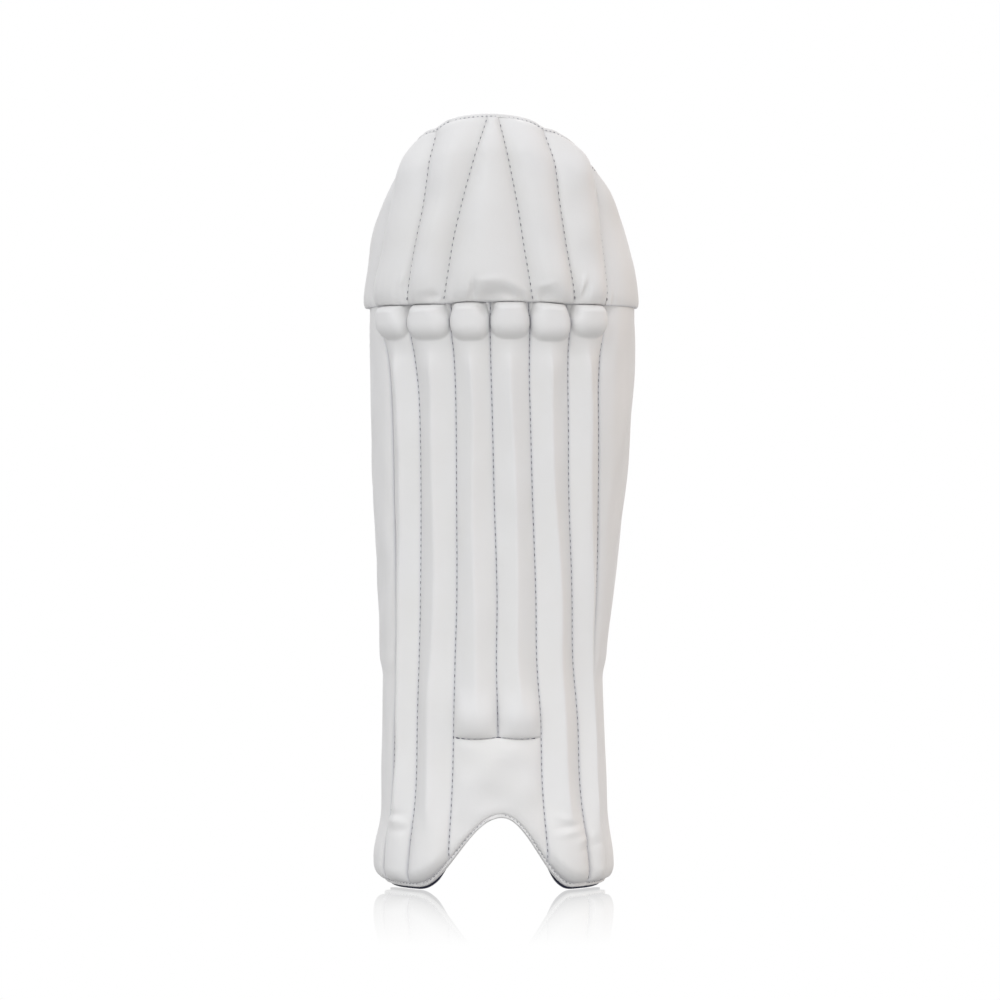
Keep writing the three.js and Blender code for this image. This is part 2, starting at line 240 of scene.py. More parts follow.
@dataclass(frozen=True)
class CoatedLeather:
    """White leather with an embossed polyurethane coat: an even satin face with a fine, soft grain."""

    name: str = "pu_coated_leather_embossed"
    clean: str = "EBEBEA"
    handled: str = "E4E3DF"
    # Painted shade: the grey that is mixed in along the seams' valleys and the pieces' feet, where shade falls.
    valley_shade: str = "BFC0C8"
    # The real grain is about 0.5 mm and too fine to show, so it is drawn at 1.3 mm.
    grain: float = 1.3
    crease: float = 9.0
    blotch: float = 55.0

    def material(self) -> Any:
        """Material with painted shade: its colour greys where the pieces mark the valleys of their seams and
        their feet.

        Returns:
            The new material.
        """
        material, tree = new_material(self.name)
        place = add_node(tree, "ShaderNodeTexCoord", output="Object")
        blotch = {"Scale": per_metre(self.blotch), "Detail": 3.0, "Roughness": 0.55}
        patches = add_node(tree, "ShaderNodeTexNoise", blotch, {"Vector": place})
        tinted = mix_colours(tree, patches, self.clean, self.handled)
        # Painted shade in the seams' valleys and along the pieces' feet, read from the pieces' attribute, greys
        # the colour.
        depth = add_node(tree, "ShaderNodeAttribute", {"attribute_name": "valley_shade"}, output="Fac")
        shade = {"data_type": "RGBA", "B_Color": linear(self.valley_shade)}
        blend = {"Factor_Float": depth, "A_Color": tinted}
        shaded = add_node(tree, "ShaderNodeMix", shade, blend, output="Result_Color")
        sheen = {"From Min": 0.3, "From Max": 0.7, "To Min": 0.4, "To Max": 0.52}
        rough = add_node(tree, "ShaderNodeMapRange", sheen, {"Value": patches})
        cells = add_node(tree, "ShaderNodeTexVoronoi", {"Scale": per_metre(self.grain)}, {"Vector": place})
        creases = {"Scale": per_metre(self.crease), "Detail": 4.0, "Roughness": 0.5}
        soft = add_node(tree, "ShaderNodeTexNoise", creases, {"Vector": place})
        low = add_node(tree, "ShaderNodeBump", {"Strength": 0.12, "Distance": 0.0012}, {"Height": soft})
        fine = {"Height": cells, "Normal": low}
        relief = add_node(tree, "ShaderNodeBump", {"Strength": 0.1, "Distance": 0.0002}, fine)
        links = {"Base Color": shaded, "Roughness": rough, "Normal": relief}
        skin = add_node(tree, "ShaderNodeBsdfPrincipled", {"IOR": 1.47}, links)
        add_node(tree, "ShaderNodeOutputMaterial", {}, {"Surface": skin})
        return material


@dataclass(frozen=True)
class WovenCloth:
    """Plain woven cloth: crossing yarns whose crowns, in turn, are painted light and whose hollows are painted
    in shade, matt and slightly uneven.
    """

    name: str
    # Painted light on the yarns' crowns and painted shade in the hollows between them.
    crown: str
    hollow: str
    # Yarns as drawn. The real ones are about 0.5 mm apart and too fine to show.
    yarn: float
    roughness: float
    sheen: float
    relief: float = 0.5

    def material(self) -> Any:
        """Material that reads the cloth's own directions from the piece's weave attributes.

        Returns:
            The new material.
        """
        material, tree = new_material(self.name)
        waves = []
        for direction in ("weave_across", "weave_along"):
            run = add_node(tree, "ShaderNodeAttribute", {"attribute_name": direction}, output="Fac")
            turn = {"operation": "MULTIPLY", "Value_001": math.pi / self.yarn}
            angle = add_node(tree, "ShaderNodeMath", turn, {"Value": run})
            waves.append(add_node(tree, "ShaderNodeMath", {"operation": "SINE"}, {"Value": angle}))
        # Painted light and shade of the weave: crowns lighter, hollows darker, made uneven by the slub noise.
        crossing = {"Value": waves[0], "Value_001": waves[1]}
        product = add_node(tree, "ShaderNodeMath", {"operation": "MULTIPLY"}, crossing)
        spread = {"From Min": -1.0, "From Max": 1.0}
        yarns = add_node(tree, "ShaderNodeMapRange", spread, {"Value": product})
        place = add_node(tree, "ShaderNodeTexCoord", output="Object")
        slub = {"Scale": per_metre(14.0), "Detail": 5.0, "Roughness": 0.6}
        uneven = add_node(tree, "ShaderNodeTexNoise", slub, {"Vector": place})
        share = {"operation": "MULTIPLY"}
        lit = add_node(tree, "ShaderNodeMath", share, {"Value": yarns, "Value_001": uneven})
        colour = mix_colours(tree, lit, self.hollow, self.crown)
        bump = {"Strength": self.relief, "Distance": 0.0004}
        normal = add_node(tree, "ShaderNodeBump", bump, {"Height": yarns})
        fibre = {"Roughness": self.roughness, "Sheen Weight": self.sheen, "Sheen Roughness": 0.5}
        links = {"Base Color": colour, "Normal": normal}
        cloth = add_node(tree, "ShaderNodeBsdfPrincipled", fibre, links)
        add_node(tree, "ShaderNodeOutputMaterial", {}, {"Surface": cloth})
        return material


@dataclass(frozen=True)
class TwistedThread:
    """Polyester sewing thread, three plies twisted: a dull gleam broken by the plies."""

    name: str
    # Colour of the plies, and painted shade in the grooves between them.
    ply: str
    groove: str
    # The plies of the real thread are 0.4 mm apart and are drawn at 0.8 mm.
    twist: float = 0.8

    def material(self) -> Any:
        """Material with slanting plies along the thread and painted shade in the grooves between them.

        Returns:
            The new material.
        """
        material, tree = new_material(self.name)
        place = add_node(tree, "ShaderNodeTexCoord", output="Object")
        # Painted shade: the groove colour darkens the twist between the plies.
        plies = {"bands_direction": "DIAGONAL", "Scale": per_metre(self.twist) / 20, "Distortion": 2.0}
        bands = add_node(tree, "ShaderNodeTexWave", plies, {"Vector": place}, output="Fac")
        colour = mix_colours(tree, bands, self.groove, self.ply)
        thread = add_node(tree, "ShaderNodeBsdfPrincipled", {"Roughness": 0.6}, {"Base Color": colour})
        add_node(tree, "ShaderNodeOutputMaterial", {}, {"Surface": thread})
        return material


@dataclass(frozen=True)
class PolishedAcrylic:
    """White acrylic floor of a studio, polished round the object so that it mirrors faintly."""

    name: str = "acrylic_polished_white"
    mirror: float = 0.4
    near_radius: float = 0.06
    far_radius: float = 0.42

    def material(self) -> Any:
        """Material that glows evenly white and mirrors less with the distance from the middle.

        Returns:
            The new material.
        """
        material, tree = new_material(self.name)
        place = add_node(tree, "ShaderNodeTexCoord", output="Object")
        length = add_node(tree, "ShaderNodeVectorMath", {"operation": "LENGTH"}, {"Vector": place}, "Value")
        fade = {"From Min": self.near_radius, "From Max": self.far_radius}
        fade |= {"To Min": self.mirror, "To Max": 0.0}
        share = add_node(tree, "ShaderNodeMapRange", fade, {"Value": length})
        glow = add_node(tree, "ShaderNodeEmission", {"Color": linear("FFFFFF"), "Strength": 1.0})
        gloss = add_node(tree, "ShaderNodeBsdfGlossy", {"Color": linear("FFFFFF"), "Roughness": 0.03})
        both = {"Fac": share, "Shader": glow, "Shader_001": gloss}
        mixed = add_node(tree, "ShaderNodeMixShader", {}, both)
        add_node(tree, "ShaderNodeOutputMaterial", {}, {"Surface": mixed})
        return material


@dataclass(frozen=True)
class PaperBackdrop:
    """White backdrop paper, lit until it is plain white."""

    name: str = "backdrop_paper_white"

    def material(self) -> Any:
        """Material that shows an even white.

        Returns:
            The new material.
        """
        material, tree = new_material(self.name)
        glow = add_node(tree, "ShaderNodeEmission", {"Color": linear("FFFFFF"), "Strength": 1.0})
        add_node(tree, "ShaderNodeOutputMaterial", {}, {"Surface": glow})
        return material


@dataclass(frozen=True)
class HeightTable:
    """Named columns of values at a few heights, read on a smooth curve through the rows."""

    columns: tuple[str, ...]
    rows: tuple[tuple[float, ...], ...]

    def at(self, column: str, height: Array) -> Array:
        """Values of one column.

        Args:
            column: Name of the column.
            height: Heights above the floor.

        Returns:
            The column's value at each height.
        """
        cells = np.array(self.rows)
        heights, values = cells[:, 0], cells[:, 1 + self.columns.index(column)]
        last = len(heights) - 1
        before = np.maximum(np.arange(last + 1) - 1, 0)
        after = np.minimum(np.arange(last + 1) + 1, last)
        slopes = (values[after] - values[before]) / (heights[after] - heights[before])
        row = np.clip(np.searchsorted(heights, height) - 1, 0, last - 1)
        span = heights[row + 1] - heights[row]
        share = np.clip((height - heights[row]) / span, 0, 1)
        rest = 1 - share
        bend = span * share * rest * (slopes[row] * rest - slopes[row + 1] * share)
        return lerp(values[row], values[row + 1], share**2 * (3 - 2 * share)) + bend

    def line(self, column: str) -> Line:
        """The function of height that one column gives."""
        return partial(self.at, column)


@dataclass(frozen=True)
class Ripple:
    """Soft unevenness of stuffed leather: a few waves that cross in fixed directions."""

    seed: int
    wavelength: float
    depth: float
    waves: int = 6

    def at(self, along: Array, up: Array) -> Array:
        """Unevenness at places on the pad.

        Args:
            along: Distance round the pad.
            up: Height above the floor.

        Returns:
            A small lift, on average nought.
        """
        chance = np.random.RandomState(self.seed)
        total = np.zeros(np.broadcast(along, up).shape)
        for _ in range(self.waves):
            turn, phase = chance.uniform(0, 2 * math.pi, 2)
            length = self.wavelength * chance.uniform(0.7, 1.4)
            run = along * math.cos(turn) + up * math.sin(turn)
            total += np.sin(2 * math.pi * run / length + phase)
        return self.depth * total / math.sqrt(self.waves / 2)


@dataclass(frozen=True)
class Fold:
    """One fold or dent, by its place seen from the front, its size, its tilt and its lift."""

    x: float
    z: float
    length: float
    width: float
    tilt: float
    lift: float

    def at(self, x: Array, z: Array) -> Array:
        """Lift that the fold gives.

        Args:
            x: How far to the right the points are, seen from the front.
            z: Their heights above the floor.

        Returns:
            Lifts at the points.
        """
        turn = math.radians(self.tilt)
        along = (x - self.x) * math.cos(turn) + (z - self.z) * math.sin(turn)
        over = (z - self.z) * math.cos(turn) - (x - self.x) * math.sin(turn)
        return self.lift * np.exp(-((2 * along / self.length) ** 2) - (2 * over / self.width) ** 2)


@dataclass(frozen=True)
class PadForm:
    """The pad's plan at each level, its seams and its edges, as in the part's own source.

    Only the pulls of the top edge are the scene's own: the solids keep a smooth dome.
    """

    top: float = 620.0
    knee_seam: float = 468.0
    instep_seam: float = 122.2
    instep_scallop: float = 1.3
    lining: float = 2.5
    layer_gap: float = 0.6
    shin_seam_lift: float = 4.8
    knob_seam_lift: float = 7.0
    corner_seam_lift: float = 1.8
    hem_droop: float = 1.3
    lobe_seam_lift: float = 9.0
    lobe_roll: float = 12.0
    # Heights over which the depth of the shin seams changes: above the lobes, at the knobs, at the knobs' tops.
    lobe_fade: tuple[float, float] = (20.0, 100.0)
    knob_fade: tuple[float, float] = (425.0, 446.0)
    corner_fade: tuple[float, float] = (450.0, 463.0)
    # Angles over which the knee hem comes to hang lower.
    hem_fade: tuple[float, float] = (14.0, 30.0)
    knee_seam_lifts: tuple[float, ...] = (9.0, 11.0, 11.5, 11.5, 11.0, 9.5)
    knee_edge_lift: float = 8.5
    top_seam_lift: float = 4.2
    top_seam_fade: tuple[float, float] = (0.0, 30.0)
    # Slit between the ends of two pieces, on each side of the seam.
    end_slit: float = 0.05
    dome_centre: float = -3.0
    dome_side: float = 90.0
    dome_drop: float = 62.0
    dome_left_power: float = 2.35
    dome_right_power: float = 2.0
    # Seams at which the sewing pulls the top edge in, and how far.
    top_pulls: tuple[tuple[str, float], ...] = (
        ("outer_left", 1.6),
        ("middle_left", 2.2),
        ("middle_right", 2.2),
        ("outer_right", 2.6),
    )
    # How far below the top the angles of these seams are read, and the degrees in which a pull dies away.
    top_pull_drop: float = 20.0
    top_pull_reach: float = 5.0
    arch_height: float = 59.3
    arch_centre: float = 3.8
    arch_left: float = 52.5
    arch_right: float = 44.0
    arch_power: float = 1.3
    corner_angle: float = 52.0
    corner_span: float = 38.0
    corner_rise: float = 4.0
    sole_flattening: float = 1.0
    welt_width: float = 3.4
    welt_lift: float = 4.7
    welt_slit: float = 0.03
    welt_top_step: float = 1.0
    lining_showing: float = 1.8
    lining_tuck: float = 3.0
    # Shares of the way into the arch over which the lining's edge is tucked in.
    tuck_fade: tuple[float, float] = (0.2, 0.42)
    # Name of each strap and height of its middle.
    straps: tuple[tuple[str, float], ...] = (("ankle_strap", 150.0), ("calf_strap", 400.0))
    # Facets along each strap's solid.
    strap_facets: int = 28
    strap_thickness: float = 2.0
    strap_width: float = 38.0
    strap_sewn: float = 24.0
    strap_back: float = 0.85
    levels: HeightTable = HeightTable(
        ("centre", "half_width", "depth", "front"),
        (
            (0, -3.8, 85.5, 66, -53),
            (70, -4.6, 85.5, 66, -50),
            (121, -5.4, 84.5, 66, -47.5),
            (179, -5.8, 82.7, 66, -46),
            (231, -3.4, 86.1, 67, -45.5),
            (311, -1.2, 92.7, 69, -45.5),
            (391, 1.4, 97, 70, -46),
            (468, 1.8, 98, 70, -46),
            (515, -0.4, 89.6, 67, -45),
            (547, -0.6, 82.4, 64, -42.5),
            (580, -0.4, 77.5, 60, -38),
            (620, -3, 70, 56, -30),
        ),
    )
    edges: HeightTable = HeightTable(
        ("left", "right"),
        (
            (0, -83, 82),
            (60, -81, 80),
            (168, -83, 82),
            (190, -91, 90),
            (330, -104, 103),
            (468, -111, 110),
            (620, -108, 107),
        ),
    )
    shin_seams: HeightTable = HeightTable(
        ("wing_left", "outer_left", "inner_left", "middle", "inner_right", "outer_right", "wing_right"),
        (
            (0, -67.5, -48.7, -24.6, 2.1, 28.6, 54, 65.5),
            (71, -63.5, -44, -22, 2.4, 25.6, 49.8, 65),
            (151, -61.6, -43, -20.5, 2.4, 25.2, 49.4, 65.3),
            (231, -60.8, -41.7, -20.1, 0.7, 20.8, 42.4, 62),
            (311, -58.9, -39.7, -20.2, -2, 16.3, 35.5, 55.4),
            (391, -59.9, -40.7, -21.3, -4.5, 12.8, 31.6, 49.7),
            (430, -62.6, -43.4, -22.3, -5.3, 12.1, 30.7, 49.5),
            (468, -68.3, -46.1, -24.2, -5.5, 12.1, 30.8, 51.7),
        ),
    )
    knee_seams: HeightTable = HeightTable(
        ("outer_left", "middle_left", "inner_left", "inner_right", "middle_right", "outer_right"),
        (
            (468, -73, -45.5, -26, 13.2, 33, 52),
            (537, -70.5, -41.5, -20, 9.8, 32, 59),
            (580, -70, -40.5, -14, 5, 30.5, 62),
            (620, -70, -40, -5, 1, 28.5, 66),
        ),
    )

    def normal(self, angle: Array, height: Array) -> Array:
        """Level directions straight out of the lining.

        Args:
            angle: Angles round the shin.
            height: Heights above the floor.

        Returns:
            Unit vectors, with their parts along the last axis.
        """
        x = np.sin(np.radians(angle)) / self.levels.at("half_width", height)
        y = -np.cos(np.radians(angle)) / self.levels.at("depth", height)
        size = np.hypot(x, y)
        return np.stack([x / size, y / size, np.zeros_like(size)], axis=-1)

    def point(self, angle: Array, height: Array, lift: Array, back_share: float = 1.0) -> Array:
        """Points of the pad.

        Args:
            angle: Angles round the shin.
            height: Heights above the floor.
            lift: Lifts outwards from the face of the lining.
            back_share: Share of the depth that is kept behind the widest place.

        Returns:
            Points in millimetres, with their parts along the last axis.
        """
        angle, height, lift = np.broadcast_arrays(angle, height, lift)
        reach = np.cos(np.radians(angle))
        reach = np.where(reach < 0, reach * back_share, reach)
        wide = self.levels.at("half_width", height) * np.sin(np.radians(angle))
        x = self.levels.at("centre", height) + wide
        y = self.levels.at("front", height) + self.levels.at("depth", height) * (1 - reach)
        return np.stack([x, y, height], axis=-1) + self.normal(angle, height) * lift[..., None]

    def shin_depth(self, height: Array) -> Array:
        """Lift of the shin seams: less deep on the lobes and between the knobs, deepest at the knobs' tops.

        Args:
            height: Heights above the floor.

        Returns:
            Lifts from the face of the lining.
        """
        lobes = lerp(self.lobe_seam_lift, self.shin_seam_lift, smooth(height, *self.lobe_fade))
        knobs = lerp(lobes, self.knob_seam_lift, smooth(height, *self.knob_fade))
        return lerp(knobs, self.corner_seam_lift, smooth(height, *self.corner_fade))

    def shin_seam(self, angle: Array, height: Array) -> Array:
        """Lift of the shin seams, which come down to the welt at the bottom edge."""
        share = rounding(height - self.padding_foot(angle), self.lobe_roll, 0)
        return lerp(self.welt_lift, self.shin_depth(height), share)

    def knee_seam_at(self, seam: str, below: Array) -> Array:
        """Lift of a knee seam at distances below the top edge.

        Args:
            seam: Name of the seam, which is empty for the free edges.
            below: Distances below the top edge.

        Returns:
            Lifts from the face of the lining.
        """
        lifts = dict(zip(self.knee_seams.columns, self.knee_seam_lifts))
        full = lifts.get(seam, self.knee_edge_lift)
        return lerp(self.top_seam_lift, full, smooth(below, *self.top_seam_fade))

    def girth(self, height: Array) -> Array:
        """Millimetres round the pad for each degree, about the same at every angle."""
        mean = (self.levels.at("half_width", height) + self.levels.at("depth", height)) / 2
        return np.radians(mean)

    def top_edge(self, angle: Array) -> Array:
        """Height of the top edge, which the sewing pulls in at the seams.

        Args:
            angle: Angles round the knee.

        Returns:
            Heights above the floor.
        """
        turn = angle - self.dome_centre
        power = np.where(turn < 0, self.dome_left_power, self.dome_right_power)
        dome = self.top - self.dome_drop * (np.abs(turn) / self.dome_side) ** power
        for seam, depth in self.top_pulls:
            end = self.knee_seams.at(seam, np.array(self.top - self.top_pull_drop))
            dome = dome - depth * near(angle - end, self.top_pull_reach)
        return dome

    def arch_share(self, angle: Array) -> Array:
        """How far into the arch places lie.

        Args:
            angle: Angles round the shin.

        Returns:
            Shares: 1 at the arch's crown and 0 on the lobes.
        """
        turn = angle - self.arch_centre
        share = turn / np.where(turn < 0, self.arch_left, self.arch_right)
        return 0.5 + 0.5 * np.cos(math.pi * np.clip(share, -1, 1))

    def bottom_edge(self, angle: Array) -> Array:
        """Height of the bottom edge.

        Args:
            angle: Angles round the shin.

        Returns:
            Heights above the floor.
        """
        corner = np.maximum(0, np.abs(angle) - self.corner_angle) / self.corner_span
        arch = self.arch_height * self.arch_share(angle) ** self.arch_power
        edge = arch + self.corner_rise * corner**2
        return edge**2 / (edge + self.sole_flattening)

    def lining_foot(self, angle: Array) -> Array:
        """Lower edge of the lining, which shows under the welt on the lobes and is tucked in at the arch."""
        tucked = smooth(self.arch_share(angle), *self.tuck_fade)
        return self.bottom_edge(angle) + self.lining_tuck * tucked

    def lining_top(self, angle: Array) -> Array:
        """Upper edge of the lining."""
        return self.top_edge(angle) - self.welt_top_step

    def welt_foot(self, angle: Array) -> Array:
        """Lower edge of the bottom welt."""
        return self.bottom_edge(angle) + self.lining_showing * (1 - self.arch_share(angle) ** 2)

    def welt_top(self, angle: Array) -> Array:
        """Upper edge of the bottom welt."""
        return self.welt_foot(angle) + self.welt_width

    def knee_welt_foot(self, angle: Array) -> Array:
        """Lower edge of the top welt."""
        return self.top_edge(angle) - self.welt_width

    def padding_foot(self, angle: Array) -> Array:
        """Lower end of the padding."""
        return self.welt_foot(angle) + self.welt_width + self.welt_slit

    def padding_top(self, angle: Array) -> Array:
        """Upper end of the padding."""
        return self.knee_welt_foot(angle) - self.welt_slit

    def knee_hem(self, angle: Array) -> Array:
        """Seam between the knee section and the shin, which hangs a little lower away from the middle."""
        return self.knee_seam - self.hem_droop * smooth(np.abs(angle), *self.hem_fade)

    def above_knee_seam(self, angle: Array) -> Array:
        """Lower end of the knee panels."""
        return self.knee_hem(angle) + self.end_slit

    def below_knee_seam(self, angle: Array) -> Array:
        """Upper end of the shin ribs and the wings."""
        return self.knee_hem(angle) - self.end_slit

    def instep_line(self, angle: Array) -> Array:
        """Seam above the instep panel, which dips in the middle of each inner rib.

        Args:
            angle: Angles round the shin.

        Returns:
            Heights above the floor.
        """
        level = np.array(self.instep_seam)
        middle = self.shin_seams.at("middle", level)
        sides = [self.shin_seams.at(side, level) for side in ("inner_left", "inner_right")]
        share = (angle - middle) / (np.where(angle < middle, *sides) - middle)
        return self.instep_seam - self.instep_scallop * np.sin(math.pi * np.clip(share, 0, 1))

    def inner_rib_foot(self, angle: Array) -> Array:
        """Lower end of the two inner ribs."""
        return self.instep_line(angle) + self.end_slit

    def instep_top(self, angle: Array) -> Array:
        """Upper end of the instep panel."""
        return self.instep_line(angle) - self.end_slit

    def strap_angles(self, middle: float, steps: int) -> Array:
        """Angles along a strap, from inside the right edge round the back to inside the left edge.

        Args:
            middle: Height of the strap's middle.
            steps: Number of steps along it.

        Returns:
            The angles, which go past 180 degrees.
        """
        height = np.array(middle)
        start = self.edges.at("right", height) - self.strap_sewn
        return even(steps, start, 360 + self.edges.at("left", height) + self.strap_sewn)


@dataclass
class Places:
    """Places over one piece, as grids of the same shape."""

    across: Array
    angle: Array
    height: Array
    above: Array
    below: Array
    width: Array
    along: Array

    def from_seam(self) -> Array:
        """Distance to the nearer side seam."""
        return np.minimum(self.across, 1 - self.across) * self.width


def closed_loft(name: str, front: Array, back: Array, marks: Mapping[str, tuple[Array, Array]]) -> Any:
    """Closed mesh between a front and a back sheet whose rows run up the pad.

    Args:
        name: Name of the piece.
        front: Grid of points in metres, each row from left to right.
        back: Grid of points in metres, each row from right to left, with a whole fraction of the front's
            columns.
        marks: Values for attributes of the points, over the front and over the back.

    Returns:
        The new object.
    """
    rows, columns = front.shape[0], front.shape[1] - 1
    strips = back.shape[1] - 1
    rings = np.concatenate([front, back], axis=1)
    size = rings.shape[1]
    index = np.arange(rows * size).reshape(rows, size)
    ahead = np.roll(index, -1, axis=1)
    quads = np.stack([index[:-1], ahead[:-1], ahead[1:], index[1:]], axis=-1).reshape(-1, 4).tolist()
    step = columns // strips
    for row, turn in ((0, -1), (rows - 1, 1)):
        for strip in range(strips):
            low = list(range(strip * step, strip * step + step + 1))
            high = [columns + strips - strip, columns + 1 + strips - strip]
            quads.append([int(index[row, place]) for place in (low + high)[::turn]])
    mesh = bpy.data.meshes.new(name)
    mesh.from_pydata(rings.reshape(-1, 3).tolist(), [], quads)
    for mark, values in marks.items():
        layer = mesh.attributes.new(mark, "FLOAT", "POINT")
        layer.data.foreach_set("value", np.concatenate(values, axis=1).astype(np.float32).ravel())
    mesh.shade_smooth()
    mesh.set_sharp_from_angle(angle=math.radians(SHARP_EDGE))
    mesh.update()
    return place_object(name, mesh)


@dataclass(frozen=True)
class Workshop:
    """Where the form lies in the frame, and the finishes that the pieces are made in."""

    form: PadForm
    offset: Array
    leather: Any
    lining: Any
    webbing: Any
    seam_thread: Any
    dark_thread: Any
    pale_thread: Any

    @staticmethod
    def find_offset(form: PadForm) -> Array:
        """Step from the form's own origin to the frame's, read off the solid of the upper strap.

        Args:
            form: The pad's form.

        Returns:
            The step, in millimetres.
        """
        name, middle = form.straps[-1]
        angle = form.strap_angles(middle, form.strap_facets)[:, None, None]
        level = middle + form.strap_width * np.array([-0.5, 0, 0.5])[None, :, None]
        outside = -form.lining - form.layer_gap
        lift = np.array([outside, outside - form.strap_thickness])[None, None, :]
        points = form.point(angle, level, lift, form.strap_back).reshape(-1, 3)
        low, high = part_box(name)
        return (np.array(low) + np.array(high)) / 2 / METRES - (points.min(0) + points.max(0)) / 2

    def metres(self, points: Array) -> Array:
        """Points of the form as metres in the frame."""
        return (points + self.offset) * METRES

    def dress(self, piece: Any, finish: Any, slot: Slot | None, *nodes: str) -> None:
        """Gives a piece its finish and joins it to the part.

        Args:
            piece: The object to dress.
            finish: Its material.
            slot: The part's material slot, or none. It is not used.
            nodes: Solids that the piece stands for.
        """
        piece.data.materials.append(finish)
        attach(piece, BODY)
        if nodes:
            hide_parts(*nodes)
        LOG.info("%s: %d faces", piece.name, len(piece.data.polygons))


def blend_weights(places: Array, knots: int) -> Array:
    """Weights that carry values on evenly spaced knots to other places, on smooth curves.

    Args:
        places: Places as shares of the way from the first knot to the last.
        knots: Number of knots.

    Returns:
        A matrix of places by knots.
    """
    spot = np.clip(places, 0, 1) * (knots - 1)
    start = np.minimum(spot.astype(int), knots - 2)
    t = spot - start
    shares = (
        (-(t**3) + 2 * t**2 - t) / 2,
        (3 * t**3 - 5 * t**2 + 2) / 2,
        (-3 * t**3 + 4 * t**2 + t) / 2,
        (t**3 - t**2) / 2,
    )
    weights = np.zeros((len(places), knots))
    for step, share in enumerate(shares):
        knot = np.clip(start + step - 1, 0, knots - 1)
        np.add.at(weights, (np.arange(len(places)), knot), share)
    return weights


@dataclass(frozen=True)
class Stuffing:
    """Foam that presses a sewn cover outwards: a short cloth simulation whose borders are held by the seams.

    The simulation runs at a larger scale, at which the solver's own masses and stiffnesses suit the mesh.
    """

    pressure: float = 4.0
    frames: int = 20
    slack: float = 0.007
    most: float = 3.0
    scale: float = 20.0
    mass: float = 0.06
    stretch: float = 12.0
    bending: float = 2.5
    quality: int = 6
    cell: float = 2.5
    least_cells: int = 8

    def swell(self, name: str, cover: Array) -> Array:
        """Moves of the points of a cover while it swells.

        Args:
            name: Name of the piece.
            cover: Grid of points in millimetres, with about square cells.

        Returns:
            The points' moves in millimetres, evened from cell to cell and none of them over the most allowed.
        """
        rows, columns = cover.shape[:2]
        index = np.arange(rows * columns).reshape(rows, columns)
        corners = [index[:-1, :-1], index[:-1, 1:], index[1:, 1:], index[1:, :-1]]
        quads = np.stack(corners, axis=-1).reshape(-1, 4)
        mesh = bpy.data.meshes.new(f"{name}_swelling")
        large = cover.reshape(-1, 3) * METRES * self.scale
        mesh.from_pydata(large.tolist(), [], quads.tolist())
        sheet = place_object(mesh.name, mesh)
        border = np.concatenate([index[0], index[-1], index[1:-1, 0], index[1:-1, -1]])
        sheet.vertex_groups.new(name="seams").add(border.tolist(), 1.0, "REPLACE")
        cloth = sheet.modifiers.new("stuffing", "CLOTH")
        cloth.point_cache.frame_start, cloth.point_cache.frame_end = 1, self.frames
        rules = cloth.settings
        rules.quality = self.quality
        rules.mass = self.mass
        rules.vertex_group_mass = "seams"
        rules.use_pressure = True
        rules.uniform_pressure_force = self.pressure
        rules.shrink_min = -self.slack
        rules.tension_stiffness = rules.compression_stiffness = self.stretch
        rules.shear_stiffness = self.stretch / 3
        rules.bending_stiffness = self.bending
        rules.effector_weights.gravity = 0
        for number in range(1, self.frames + 1):
            bpy.context.scene.frame_set(number)
        swollen = sheet.evaluated_get(bpy.context.evaluated_depsgraph_get()).data
        flat = np.empty(rows * columns * 3, dtype=np.float32)
        swollen.vertices.foreach_get("co", flat)
        bpy.data.objects.remove(sheet)
        bpy.data.meshes.remove(mesh)
        bpy.context.scene.frame_set(1)
        moves = (flat.reshape(-1, 3) - large).reshape(rows, columns, 3) / METRES / self.scale
        size = np.linalg.norm(moves, axis=-1, keepdims=True)
        LOG.info("%s swells by %.2f mm at most and %.2f mm on average", name, size.max(), size.mean())
        moves = moves * np.minimum(1, self.most / np.maximum(size, 1e-6))
        inside = np.pad(np.ones((rows - 2, columns - 2, 1), bool), ((1, 1), (1, 1), (0, 0)))
        for axis in (0, 1):
            beside = np.roll(moves, 1, axis) + np.roll(moves, -1, axis)
            moves = np.where(inside, (2 * moves + beside) / 4, moves)
        return moves


@dataclass
class Patch:
    """A stretch of the pad between two lines up it and its two ends."""

    node: str
    left: Line
    right: Line
    foot: Line
    top: Line
    # Degrees that are left free beside each line.
    slit: float = field(default=0.03, kw_only=True)

    def places(self, form: PadForm, across: Array, up: Array) -> Places:
        """Settles angles and heights where each depends on the other.

        Args:
            form: The pad's form.
            across: Shares of the way from the left line to the right one.
            up: Shares of the way from the foot to the top.

        Returns:
            The places, as grids of rows by columns.
        """
        across, up = np.broadcast_arrays(across[None, :], up[:, None])
        height = lerp(form.knee_seam / 2, form.knee_seam, up)
        for _ in range(SETTLING_ROUNDS):
            left, right = self.left(height) + self.slit, self.right(height) - self.slit
            angle = lerp(left, right, across)
            low, high = self.foot(angle), self.top(angle)
            height = lerp(low, high, up)
        girth = form.girth(height)
        width = (right - left) * girth
        return Places(across, angle, height, height - low, high - height, width, angle * girth)


